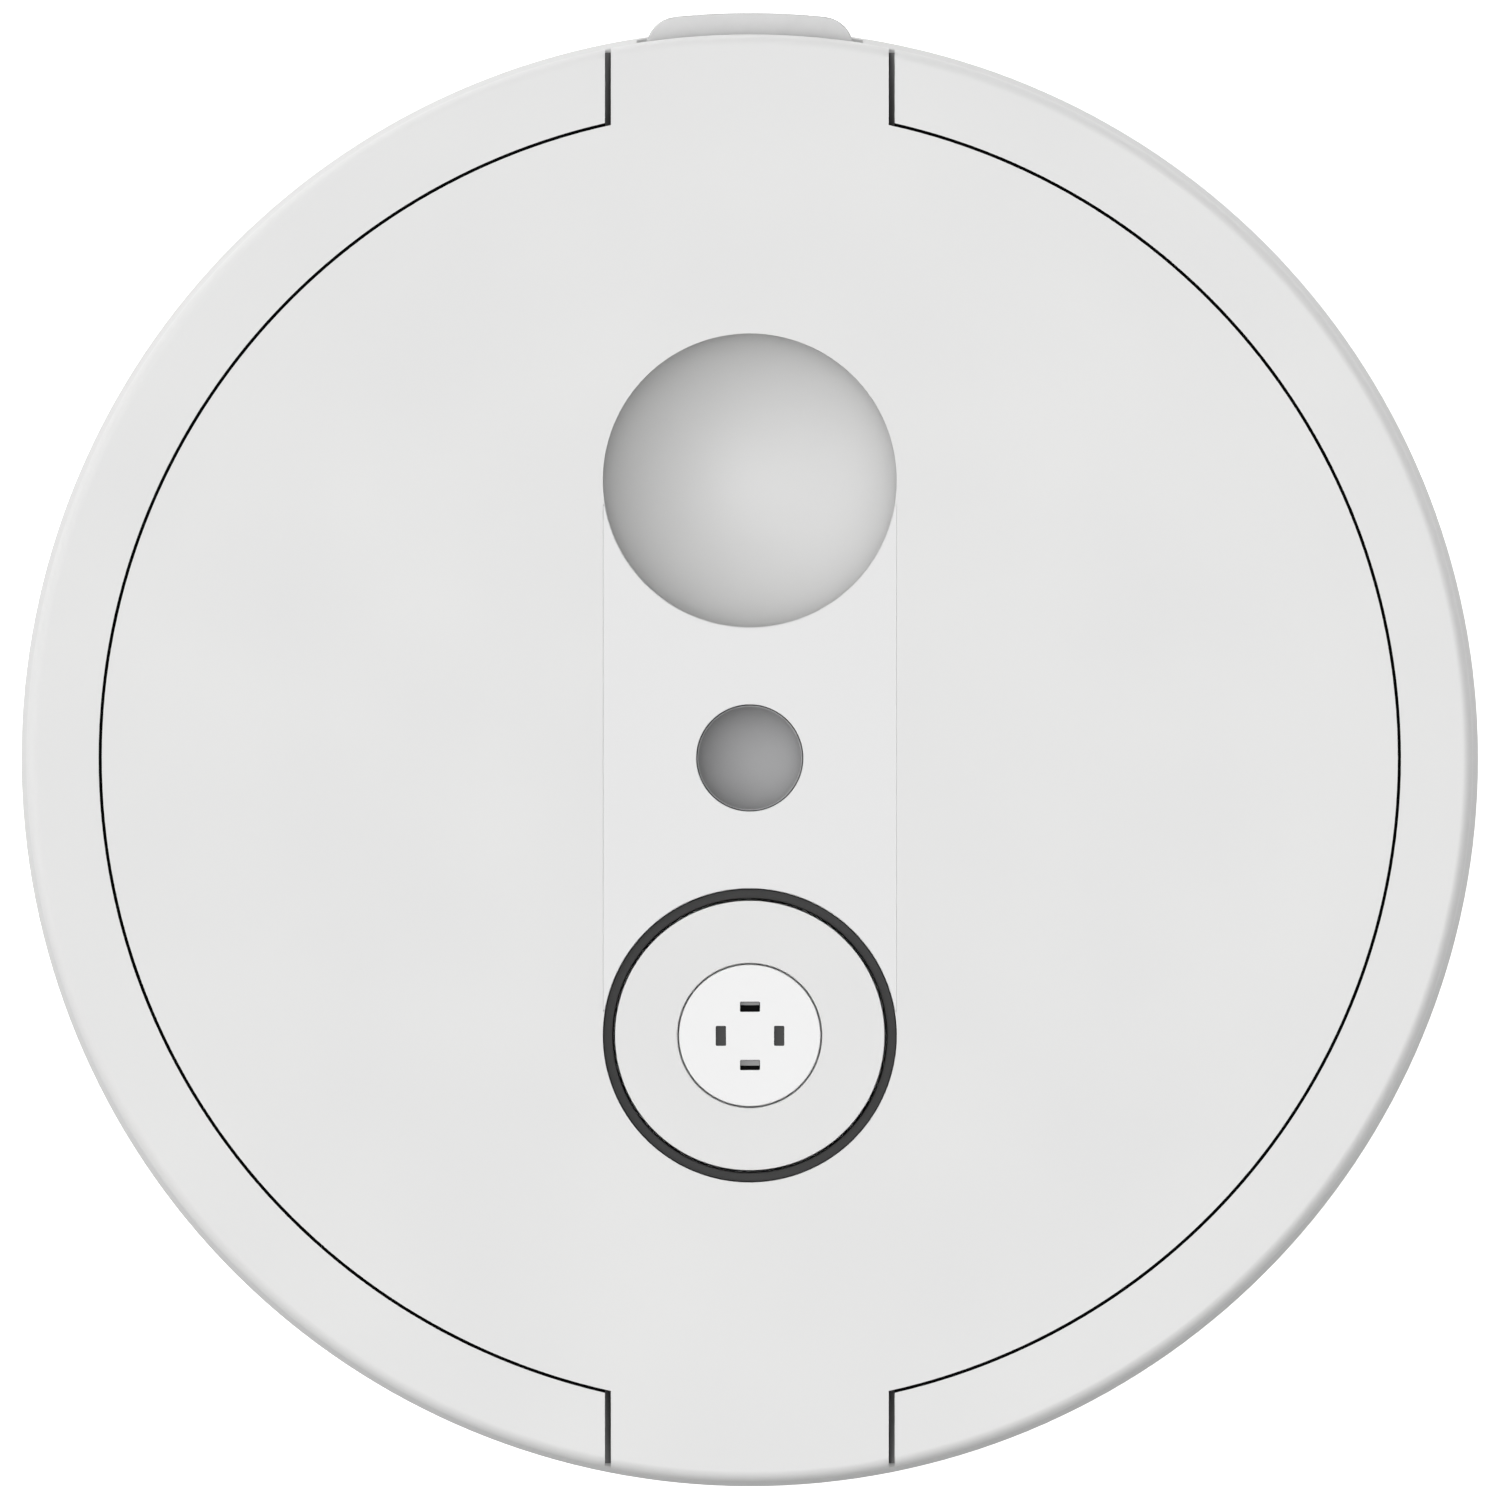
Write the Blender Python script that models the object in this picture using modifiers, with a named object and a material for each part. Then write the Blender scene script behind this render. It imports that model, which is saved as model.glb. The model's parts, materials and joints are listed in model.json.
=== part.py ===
"""Round floor robot that children program: it drives, turns on the spot and draws through its middle.

Sizes are in millimetres, and the helper functions turn them into Blender's metres.
The ground is Z 0, the pen axis is the Z axis, +Y is the front and +X the right side.
"""

import math

import bmesh
import bpy

MM = 0.001

# Body
BODY_RADIUS = 75.0  # at the foot of the wall
WALL_LEAN = 0.62  # how far the wall leans in from foot to top
WALL = 2.2
GROUND_GAP = 5.0  # under the floor plate
FLOOR = 2.4  # thickness of the floor plate
TOP_LAYER = 3.0  # thickness of lid and side covers
EDGE_ROUND = 1.05
LEDGE = 2.0  # thickness of the shelf that carries the lid
LID_LAP = 4.0  # how far the lid lies on the shelf
RIM_WIDTH = 8.25  # from the lid's edge to the foot of the wall
TONGUE_HALF = 14.3  # half the width of the lid's front and rear tongues
TONGUE_GAP = 0.62
SEAM = 0.25  # parting gap between fixed pieces
STACK = 0.2  # gap between pieces that rest on each other
FOOT_BEVEL = 1.0
GASKET_LAP = 0.5  # how far the foam strip reaches past both sides of a seam
GASKET_END = 1.2  # the strip stops this far inside the wall
SLACK = 0.3  # all round the pieces that stand in openings of the wall
BEYOND = 3.0  # how far cutting tools run past what they cut

# Top features
FEATURE_RADIUS = 15.14  # rim of the dish and of the pad well
FEATURE_SPACE = 7.93  # between the pen hole and the rims before and behind it
DISH_DEPTH = 9.0
CUP_WALL = 1.6
OVERLAY_THICK = 0.5
OVERLAY_INSET = 2.6  # the overlay stops this far short of the dish's and pad's centres
OVERLAY_SLACK = 0.12  # round the overlay in its recess
OVERLAY_SINK = 0.04
PEN_HOLE = 5.5
PLUG_GAP = 0.08
PLUG_LIP = 0.3
PLUG_DISH = 4.3
PLUG_SINK = 0.9  # plug top below the lid
SLEEVE_WALL = 1.25
SLEEVE_STEP = 3.3  # the narrow pen guide ends this far above the axles
SLEEVE_NARROW = 1.0
SLEEVE_FLANGE = (2.5, 1.4)  # width and thickness
COLLAR = 1.8  # wall of the lid's collar round the sleeve
WELL_DEPTH = 9.2
RING_SINK = 0.8  # light ring below the lid
RING_WIDTH = 0.95
PAD_GAP = 0.32
CAP_RADIUS = 7.35
CAP_GAP = 0.22
CAP_THICK = 1.4
CAP_POCKET = 0.4  # holds the light guide
GUIDE_RADIUS = 5.2
GUIDE_THICK = 0.6
PAD_THICK = 2.5
PAD_WEB = 0.9
SLOT_OFFSET = 3.0
SLOT_LENGTH = 2.0
SLOT_WIDTH = 1.0
PAD_TRAVEL = 0.3  # free height over the switch domes
GO_TRAVEL = 0.6
BOARD = 1.2  # thickness of the small circuit boards
CABLE_HOLE = 4.0
STEM_RADIUS = 1.6
DOME = 1.8
DOME_HIGH = 0.8
KEY_RADIUS = 7.2
PLUNGER_RADIUS = 1.0
GIMBAL_OUTER = 12.0
GIMBAL_INNER = 10.6
GIMBAL_THICK = 0.8
PIVOT_PIN = 0.4
PIVOT_SLACK = 0.15
PIVOT_RISE = 2.6  # pivots above the keypad board

# Drive
WHEEL_RADIUS = 20.0
WHEEL_WIDTH = 9.0
WHEEL_INSET = 9.0  # outer face of the wheel inside the wall
WHEEL_HEADROOM = 6.0  # flat top above the tyre
WHEEL_GAP = 1.8
TYRE_THICK = 3.6
AXLE_RADIUS = 1.5
PIN_RADIUS = 1.0
RUNNING = 0.1  # radial clearance of a shaft in its hole
PRESSED = 0.04  # drawn clearance of a pressed hub
GEAR_MODULE = 0.75
SMALL_TEETH = 10
LARGE_TEETH = 30
BACKLASH = 0.16
PRESSURE_ANGLE = math.radians(25)
ADDENDUM = 0.8
DEDENDUM = 1.15
GEAR_FACE = 3.0
GEAR_BAY = 12.0
FRAME_PLATE = 2.0
FRAME_CLEAR = 3.0  # from the gearbox to the wheel
IDLER_ANGLE = math.radians(20)
MOTOR_ANGLE = math.radians(-15)
MOTOR_RADIUS = 10.0
MOTOR_FLAT = 7.6
MOTOR_LENGTH = 24.0
MOTOR_BOSS = 3.0
MOTOR_SHAFT = 1.0
HUB_RADIUS = 4.5
WEB_HALF = 1.3
RIM_HOLES = 5
RIM_HOLE_RADIUS = 2.5
TYRE_CROWN = 0.7
TYRE_SHOULDER = 1.6
TYRE_SEAT_GAP = 0.05
GEAR_HUB = 4.0
PILLAR_RADIUS = 1.6
GEAR_WINDOW = 5.0

# Casters
CASTER_INSET = 25.0  # ball centre inside the foot of the wall
BALL_RADIUS = 6.0
BALL_GAP = 0.3
SOCKET_WALL = 1.8
SOCKET_FLANGE = 2.0
FLANGE_THICK = 1.5
SOCKET_LIP_DROP = 1.0  # lip below the floor plate

# Front sensor nose
NOSE_HALF = 10.7
NOSE_REACH = 1.7  # beyond the foot of the wall
NOSE_CORNER = 3.0
NOSE_LOW = 14.0
NOSE_HIGH = 39.4
NOSE_WALL = 1.6
NOSE_GAP = 0.9
NOSE_TRAVEL = 1.5
NOSE_DEPTH = 10.0
FLANGE = 1.6
FLANGE_LAP = 1.4  # flange past the opening's edge
FLANGE_INSET = 1.7
SPRING_SPACE = 6.7  # between the bracket and the flange
WINDOW_HALF = (7.5, 5.0)  # half width and half height
LENS_SINK = 0.7
LENS_THICK = 1.5
BRACKET_HALF = 13.2
BRACKET_WALL = 1.6
SPRING_X = 11.85
SPRING = (0.9, 3, 6, 0.18)  # coil radius, turns, points in a turn, wire radius
BARREL = (4.2, 3.1, 2.3)  # offset, outer radius, bore

# Power and electronics
BATTERY_RADIUS = 9.1
BATTERY_LENGTH = 65.0
BATTERY_Y = -22.0
MAIN_BOARD = 1.6
MAIN_HALF_Y = 47.0
BAY_CLEAR = 4.0  # main board's edges inside the gearboxes
MAIN_CLEAR = 3.3  # main board below the pad well
POSTS = [(31.0, 43.0), (-31.0, 43.0), (21.0, -43.0), (-21.0, -43.0)]
POST_RADIUS = 2.4
DOOR = 1.2  # thickness of the battery door
DOOR_LAP = (3.5, 2.3)  # past the cell's ends and past its front side
DOOR_BOSS = (2.5, 5.0)  # radius, height
DOOR_SCREW_SPACE = 4.9
DOOR_SCREW_LAP = 2.2
LINE_HALF = (12.0, 2.2)  # half width and half depth of the line window's opening
SOUND_HOLE = 1.2
SPEAKER = (34.0, -44.0, 10.0, 5.0)  # x, y, radius, height
USB = (-10.0, 9.0, 3.2)  # x, width, height
SWITCH = (10.0, 4.0, 2.4, 3.0)  # x, knob width, knob height, travel
SOCKET_LEVEL = 20.0
SCREW_RADIUS = 1.3
SCREW_HEAD = 2.3
HEAD_HEIGHT = 1.5
SEAT_DEPTH = 1.2
BASE_SCREW_LENGTH = 11.0
DOOR_SCREW_LENGTH = 5.0
BOSS_RADIUS = 4.0
BOSS_LAP = 0.4  # how far the bosses run into the wall
PEG_RADIUS = 1.4
PEG_SLACK = 0.15

ROUND = 64  # steps round the body
MEDIUM = 28
SMALL = 12
SHAFT_STEPS = 16

# Sizes that follow
FEATURE_OFFSET = PEN_HOLE + FEATURE_SPACE + FEATURE_RADIUS
AXLE_Z = WHEEL_RADIUS
BODY_TOP = 2 * WHEEL_RADIUS + WHEEL_HEADROOM
FLOOR_TOP = GROUND_GAP + FLOOR
LAYER_FOOT = BODY_TOP - TOP_LAYER
SHELL_TOP = LAYER_FOOT - STACK
INNER_RADIUS = BODY_RADIUS - WALL_LEAN - WALL
LID_RADIUS = BODY_RADIUS - RIM_WIDTH
LEDGE_RADIUS = LID_RADIUS - LID_LAP
WELL_FLOOR = BODY_TOP - WELL_DEPTH
WELL_FOOT = WELL_FLOOR - CUP_WALL
WELL_RADIUS = FEATURE_RADIUS + CUP_WALL
RING_INNER = FEATURE_RADIUS - RING_WIDTH - 0.04
PAD_RADIUS = RING_INNER - PAD_GAP
KEY_BOARD_TOP = WELL_FLOOR + STACK + BOARD
PIVOT_Z = KEY_BOARD_TOP + PIVOT_RISE
BOSS_CIRCLE = INNER_RADIUS - BOSS_RADIUS + BOSS_LAP
BOSS_ANGLES = [math.radians(a) for a in (45, 135, 225, 315)]
SLEEVE_BORE = PEN_HOLE + SEAM
SLEEVE_RADIUS = SLEEVE_BORE + SLEEVE_WALL
WHEEL_OUTER = BODY_RADIUS - WHEEL_INSET
WHEEL_INNER = WHEEL_OUTER - WHEEL_WIDTH
BAY_OUTER = WHEEL_INNER - FRAME_CLEAR - FRAME_PLATE
BAY_INNER = BAY_OUTER - GEAR_BAY
MESH_DISTANCE = GEAR_MODULE * (SMALL_TEETH + LARGE_TEETH) / 2
IDLER_Y = MESH_DISTANCE * math.cos(IDLER_ANGLE)
IDLER_Z = AXLE_Z + MESH_DISTANCE * math.sin(IDLER_ANGLE)
MOTOR_Y = IDLER_Y + MESH_DISTANCE * math.cos(MOTOR_ANGLE)
MOTOR_Z = IDLER_Z + MESH_DISTANCE * math.sin(MOTOR_ANGLE)
MAIN_TOP = WELL_FOOT - MAIN_CLEAR
MAIN_HALF_X = BAY_INNER - FRAME_PLATE - BAY_CLEAR
NOSE_FRONT = BODY_RADIUS + NOSE_REACH
NOSE_MIDDLE = (NOSE_LOW + NOSE_HIGH) / 2
FLANGE_FRONT = INNER_RADIUS - FLANGE_INSET
BRACKET_Y = FLANGE_FRONT - FLANGE - SPRING_SPACE
LINE_WINDOW_Y = INNER_RADIUS - 5.9
CASTER_OFFSET = BODY_RADIUS - CASTER_INSET
DOOR_SCREW_Y = BATTERY_Y - BATTERY_RADIUS - DOOR_SCREW_SPACE
SLEEVE_STEP_Z = AXLE_Z + SLEEVE_STEP
LID_PEGS = (LID_RADIUS - LID_LAP / 2, [math.radians(a) for a in (30, 150, 210, 330)])
COVER_PEGS = (LID_RADIUS + 2.6, [math.radians(a) for a in (-60, 0, 60)])

X_AXIS = (math.pi / 2, 0, math.pi / 2)  # local Z points along X, local X along Y
Y_AXIS = (-math.pi / 2, 0, 0)  # local Z points along Y

MATERIALS = {
    "shell_white": ((0.78, 0.78, 0.78), 0.45, 0.0),
    "overlay_white": ((0.80, 0.80, 0.80), 0.5, 0.0),
    "cap_white": ((0.90, 0.90, 0.90), 0.35, 0.0),
    "ring_smoke": ((0.05, 0.05, 0.05), 0.4, 0.0),
    "plug_grey": ((0.45, 0.45, 0.46), 0.7, 0.0),
    "lens_black": ((0.01, 0.01, 0.012), 0.1, 0.0),
    "guide_grey": ((0.08, 0.08, 0.08), 0.4, 0.0),
    "tyre_rubber": ((0.03, 0.03, 0.03), 0.8, 0.0),
    "rim_grey": ((0.55, 0.56, 0.58), 0.5, 0.0),
    "gear_acetal": ((0.85, 0.84, 0.78), 0.4, 0.0),
    "steel": ((0.60, 0.60, 0.62), 0.25, 1.0),
    "motor_can": ((0.65, 0.65, 0.66), 0.35, 1.0),
    "board_green": ((0.03, 0.18, 0.09), 0.5, 0.0),
    "part_black": ((0.02, 0.02, 0.02), 0.5, 0.0),
    "battery_wrap": ((0.05, 0.16, 0.45), 0.4, 0.0),
}


def wall_radius(z):
    """Outer radius of the leaning wall at height z."""
    share = (z - GROUND_GAP) / (BODY_TOP - GROUND_GAP)
    return BODY_RADIUS - WALL_LEAN * share


def start_scene():
    for obj in list(bpy.data.objects):
        bpy.data.objects.remove(obj)
    groups = {}
    for name in ("floor_robot", "cutters"):
        groups[name] = bpy.data.collections.new(name)
        bpy.context.scene.collection.children.link(groups[name])
    for name, (colour, roughness, metallic) in MATERIALS.items():
        made = bpy.data.materials.new(name)
        made.use_nodes = True
        shader = made.node_tree.nodes["Principled BSDF"]
        shader.inputs["Base Color"].default_value = (*colour, 1)
        shader.inputs["Roughness"].default_value = roughness
        shader.inputs["Metallic"].default_value = metallic
    return groups


GROUPS = start_scene()


# Making objects


def put(name, data, at=(0, 0, 0), turn=(0, 0, 0), finish=None):
    """Links data as an object. One with no finish is a cutter or a tool, which isn't part of the robot."""
    obj = bpy.data.objects.new(name, data)
    obj.location = [v * MM for v in at]
    obj.rotation_euler = turn
    GROUPS["floor_robot" if finish else "cutters"].objects.link(obj)
    if finish:
        data.materials.append(bpy.data.materials[finish])
    else:
        obj.hide_render = True
        obj.display_type = "WIRE"
    return obj


def mesh_from(name, build):
    """A mesh from a function that fills a bmesh in millimetres."""
    mesh = bpy.data.meshes.new(name)
    bm = bmesh.new()
    build(bm)
    bmesh.ops.scale(bm, vec=(MM, MM, MM), verts=bm.verts)
    bm.to_mesh(mesh)
    bm.free()
    return mesh


def box(name, low, high, finish=None, bevel=0.0, origin=None):
    """A box between two corners, bevelled if asked. Its origin is its centre unless one is given."""
    centre = [(a + b) / 2 for a, b in zip(low, high)]
    at = origin or centre
    size = [b - a for a, b in zip(low, high)]

    def build(bm):
        bmesh.ops.create_cube(bm, size=1)
        bmesh.ops.scale(bm, vec=size, verts=bm.verts)
        bmesh.ops.translate(bm, vec=[c - a for c, a in zip(centre, at)], verts=bm.verts)

    obj = put(name, mesh_from(name, build), at, finish=finish)
    if bevel:
        add_bevel(obj, bevel)
    return obj


def add_bevel(obj, width, segments=2):
    rounding = obj.modifiers.new("edges", "BEVEL")
    rounding.width = width * MM
    rounding.segments = segments
    rounding.limit_method = "ANGLE"


def cylinder(name, radius, low, high, at=(0, 0, 0), turn=(0, 0, 0), finish=None, steps=SMALL, tip=None):
    """A cylinder or cone along its own Z, from low to high above its origin."""

    def build(bm):
        bmesh.ops.create_cone(
            bm,
            cap_ends=True,
            segments=steps,
            radius1=radius,
            radius2=radius if tip is None else tip,
            depth=high - low,
        )
        bmesh.ops.translate(bm, vec=(0, 0, (high + low) / 2), verts=bm.verts)

    return put(name, mesh_from(name, build), at, turn, finish)


def turned(name, profile, finish=None, at=(0, 0, 0), turn=(0, 0, 0), steps=MEDIUM):
    """A profile of (radius, height) points, outer side first and downwards, spun about its own Z."""
    joined = profile[0][0] > 0

    def build(bm):
        verts = [bm.verts.new((r, 0, z)) for r, z in profile]
        for a, b in zip(verts, verts[1:] + verts[:1] * joined):
            bm.edges.new((a, b))

    obj = put(name, mesh_from(name, build), at, turn, finish)
    spin = obj.modifiers.new("turn", "SCREW")
    spin.steps = spin.render_steps = steps
    spin.use_merge_vertices = True
    spin.merge_threshold = 0.00001
    return obj


def prism(name, outline, low, high, finish=None, at=(0, 0, 0), turn=(0, 0, 0)):
    """A flat outline given thickness along its own Z, as a mesh that Booleans can use."""
    curve = bpy.data.curves.new(name, "CURVE")
    curve.dimensions = "2D"
    curve.fill_mode = "BOTH"
    curve.extrude = (high - low) / 2 * MM
    spline = curve.splines.new("POLY")
    spline.points.add(len(outline) - 1)
    for point, (x, y) in zip(spline.points, outline):
        point.co = (x * MM, y * MM, (low + high) / 2 * MM, 1)
    spline.use_cyclic_u = True
    drawn = put(name + "_outline", curve)
    graph = bpy.context.evaluated_depsgraph_get()
    mesh = bpy.data.meshes.new_from_object(drawn.evaluated_get(graph))
    bpy.data.objects.remove(drawn)
    bm = bmesh.new()
    bm.from_mesh(mesh)
    bmesh.ops.translate(bm, vec=(0, 0, (low + high) / 2 * MM - middle(bm)), verts=bm.verts)
    bmesh.ops.remove_doubles(bm, verts=bm.verts, dist=1e-6)
    bm.to_mesh(mesh)
    bm.free()
    mesh.name = name
    return put(name, mesh, at, turn, finish)


def middle(bm):
    heights = [v.co.z for v in bm.verts]
    return (min(heights) + max(heights)) / 2


def change(obj, operation, *tools):
    for tool in tools:
        step = obj.modifiers.new(tool.name, "BOOLEAN")
        step.operation = operation
        step.object = tool
    return obj


def cut(obj, *tools):
    return change(obj, "DIFFERENCE", *tools)


def join(obj, *tools):
    return change(obj, "UNION", *tools)


def arc(radius, start, end, steps, centre=(0, 0)):
    """Points from one angle to another, in radians, both ends included."""
    angles = [start + (end - start) * i / steps for i in range(steps + 1)]
    return [(centre[0] + radius * math.cos(a), centre[1] + radius * math.sin(a)) for a in angles]


def on_circle(radius, angle, z=0.0):
    return (radius * math.cos(angle), radius * math.sin(angle), z)


# Body


def top_layer(name, finish):
    """The whole top layer as one disc with a rounded edge; lid and side covers are parts of it."""
    edge = wall_radius(BODY_TOP - EDGE_ROUND)
    rounding = arc(EDGE_ROUND, math.pi / 2, 0, 3, (edge - EDGE_ROUND, BODY_TOP - EDGE_ROUND))
    foot = (wall_radius(LAYER_FOOT), LAYER_FOOT)
    return turned(name, [(0, BODY_TOP), *rounding, foot, (0, LAYER_FOOT)], finish, steps=ROUND)


def lid_outline():
    """The lid's disc with its two tongues, which run past the wall."""
    turn_in = math.acos(TONGUE_HALF / LID_RADIUS)
    far = BODY_RADIUS + 2
    half = ROUND // 2 - 4
    right = arc(LID_RADIUS, -turn_in, turn_in, half)
    left = arc(LID_RADIUS, math.pi - turn_in, math.pi + turn_in, half)
    front = [(TONGUE_HALF, far), (-TONGUE_HALF, far)]
    rear = [(-TONGUE_HALF, -far), (TONGUE_HALF, -far)]
    return right + front + left + rear


def cover_outline(side):
    """The C-shaped region of a side cover."""
    inner = LID_RADIUS + SEAM
    end = TONGUE_HALF + TONGUE_GAP
    far = BODY_RADIUS + 2
    spread = math.acos(end / inner)
    bow = arc(inner, spread, -spread, ROUND // 2 - 4)
    outline = [(end, far), *bow, (end, -far), (far, -far), (far, far)]
    return [(side * x, y) for x, y in outline][::side]


def peg_holes(circle, angles, name):
    radius, low, high = PEG_RADIUS + PEG_SLACK, SHELL_TOP - LEDGE - 1, SHELL_TOP + 1
    spots = [on_circle(circle, a) for a in angles]
    return [cylinder(f"{name}_{i}", radius, low, high, at, steps=8) for i, at in enumerate(spots)]


def pegs(circle, angles, name):
    low, high = SHELL_TOP - LEDGE + STACK, LAYER_FOOT + 0.8
    spots = [on_circle(circle, a) for a in angles]
    return [cylinder(f"{name}_{i}", PEG_RADIUS, low, high, at, steps=8) for i, at in enumerate(spots)]


def make_body_shell():
    outside = [(wall_radius(SHELL_TOP), SHELL_TOP), (BODY_RADIUS, GROUND_GAP + FOOT_BEVEL)]
    foot = [(BODY_RADIUS - FOOT_BEVEL, GROUND_GAP), (INNER_RADIUS, GROUND_GAP)]
    shelf = [(INNER_RADIUS, SHELL_TOP - LEDGE), (LEDGE_RADIUS, SHELL_TOP - LEDGE), (LEDGE_RADIUS, SHELL_TOP)]
    shell = turned("body_shell", outside + foot + shelf, "shell_white", steps=ROUND)
    for i, angle in enumerate(BOSS_ANGLES):
        at = on_circle(BOSS_CIRCLE, angle)
        join(shell, cylinder(f"boss_{i}", BOSS_RADIUS, FLOOR_TOP + STACK, SHELL_TOP - LEDGE + 0.5, at))
        cut(shell, cylinder(f"boss_hole_{i}", SCREW_RADIUS + RUNNING, 0, FLOOR_TOP + 12, at, steps=12))
    half = NOSE_HALF + NOSE_GAP
    near, far = INNER_RADIUS - BEYOND, BODY_RADIUS + BEYOND
    cut(shell, box("nose_opening", (-half, near, NOSE_LOW - NOSE_GAP), (half, far, NOSE_HIGH + NOSE_GAP)))
    usb_x, usb_wide, usb_high = USB
    knob_x, knob_wide, knob_high, travel = SWITCH
    for name, x, wide, high in (
        ("usb_opening", usb_x, usb_wide, usb_high),
        ("switch_opening", knob_x, knob_wide + travel, knob_high),
    ):
        reach = (wide / 2 + SLACK, high / 2 + SLACK)
        low_corner = (x - reach[0], -far, SOCKET_LEVEL - reach[1])
        cut(shell, box(name, low_corner, (x + reach[0], -near, SOCKET_LEVEL + reach[1])))
    cut(shell, *peg_holes(*LID_PEGS, "lid_hole"))
    for side in (-1, 1):
        angles = [a if side > 0 else math.pi - a for a in COVER_PEGS[1]]
        cut(shell, *peg_holes(COVER_PEGS[0], angles, f"cover_hole_{side}"))


def make_gasket():
    """Foam strip on the shelf below the seams, so that dust and light don't pass them."""
    low, high = SHELL_TOP + 0.02, LAYER_FOOT - 0.02
    inner, outer = LID_RADIUS - GASKET_LAP, LID_RADIUS + SEAM + GASKET_LAP
    ring = [(outer, high), (outer, low), (inner, low), (inner, high)]
    strip = turned("seam_gasket", ring, "part_black", steps=ROUND)
    near, far = TONGUE_HALF - GASKET_LAP, TONGUE_HALF + TONGUE_GAP + GASKET_LAP
    start = math.sqrt(inner**2 - near**2) + 0.3
    end = math.sqrt((wall_radius(SHELL_TOP) - GASKET_END) ** 2 - far**2)
    for x in (-1, 1):
        for y in (-1, 1):
            xs, ys = sorted((x * near, x * far)), sorted((y * start, y * end))
            leg = box(f"gasket_leg_{x}_{y}", (xs[0], ys[0], low + 0.01), (xs[1], ys[1], high - 0.01))
            join(strip, leg)


def make_side_covers():
    for side, name in ((-1, "left"), (1, "right")):
        cover = top_layer(f"{name}_side_cover", "shell_white")
        low, high = LAYER_FOOT - BEYOND, BODY_TOP + BEYOND
        change(cover, "INTERSECT", prism(f"{name}_region", cover_outline(side), low, high))
        angles = [a if side > 0 else math.pi - a for a in COVER_PEGS[1]]
        join(cover, *pegs(COVER_PEGS[0], angles, f"{name}_peg"))


def dish_profile(radius, depth, top):
    """A half-ellipse bowl from its rim down to its lowest point."""
    angles = [math.pi / 2 * i / 6 for i in range(6)]
    return [(radius * math.cos(a), top - depth * math.sin(a)) for a in angles]


def make_top_cover():
    lid = top_layer("top_cover", "shell_white")
    change(lid, "INTERSECT", prism("lid_region", lid_outline(), LAYER_FOOT - BEYOND, BODY_TOP + BEYOND))
    front = (0, FEATURE_OFFSET, 0)
    rear = (0, -FEATURE_OFFSET, 0)
    rim_z = BODY_TOP - 1
    cup = dish_profile(FEATURE_RADIUS + CUP_WALL, DISH_DEPTH + CUP_WALL - 1, rim_z)
    bottom = rim_z - DISH_DEPTH - CUP_WALL + 1
    join(lid, turned("dish_cup", [(0, rim_z), *cup, (0, bottom)], at=front))
    join(lid, cylinder("pad_well", WELL_RADIUS, WELL_FOOT, LAYER_FOOT + 1, rear, steps=MEDIUM))
    join(lid, cylinder("sleeve_collar", SLEEVE_RADIUS + COLLAR, LAYER_FOOT - 2, LAYER_FOOT + 1, steps=24))
    join(lid, *pegs(*LID_PEGS, "lid_peg"))
    bowl = dish_profile(FEATURE_RADIUS, DISH_DEPTH, BODY_TOP)
    above = BODY_TOP + BEYOND
    bowl = [(0, above), (FEATURE_RADIUS, above), *bowl, (0, BODY_TOP - DISH_DEPTH)]
    cut(lid, turned("dish_bowl", bowl, at=front))
    cut(lid, cylinder("well_bore", FEATURE_RADIUS, WELL_FLOOR, above, rear, steps=MEDIUM))
    cut(lid, cylinder("well_cable_hole", CABLE_HOLE, WELL_FOOT - 1, above, rear))
    cut(lid, cylinder("pen_hole", PEN_HOLE, LAYER_FOOT - BEYOND, above, steps=24))
    cut(lid, cylinder("sleeve_seat", SLEEVE_RADIUS + STACK, LAYER_FOOT - BEYOND, LAYER_FOOT, steps=24))
    half = FEATURE_RADIUS + OVERLAY_SLACK
    reach = FEATURE_OFFSET - OVERLAY_INSET + 0.15
    sunk = BODY_TOP - OVERLAY_THICK - 0.1
    cut(lid, box("overlay_recess", (-half, -reach, sunk), (half, reach, above)))


def make_overlay():
    half = FEATURE_RADIUS - OVERLAY_SINK
    reach = FEATURE_OFFSET - OVERLAY_INSET
    low, above = BODY_TOP - OVERLAY_THICK, BODY_TOP + BEYOND
    high = BODY_TOP - OVERLAY_SINK
    overlay = box("control_overlay", (-half, -reach, low), (half, reach, high), "overlay_white")
    for i, y in enumerate((FEATURE_OFFSET, -FEATURE_OFFSET)):
        end = cylinder(f"overlay_end_{i}", FEATURE_RADIUS + 0.02, low - 1, above, (0, y, 0), steps=MEDIUM)
        cut(overlay, end)
    cut(overlay, cylinder("overlay_hole", PEN_HOLE + 0.02, low - 1, above, steps=24))


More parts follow.
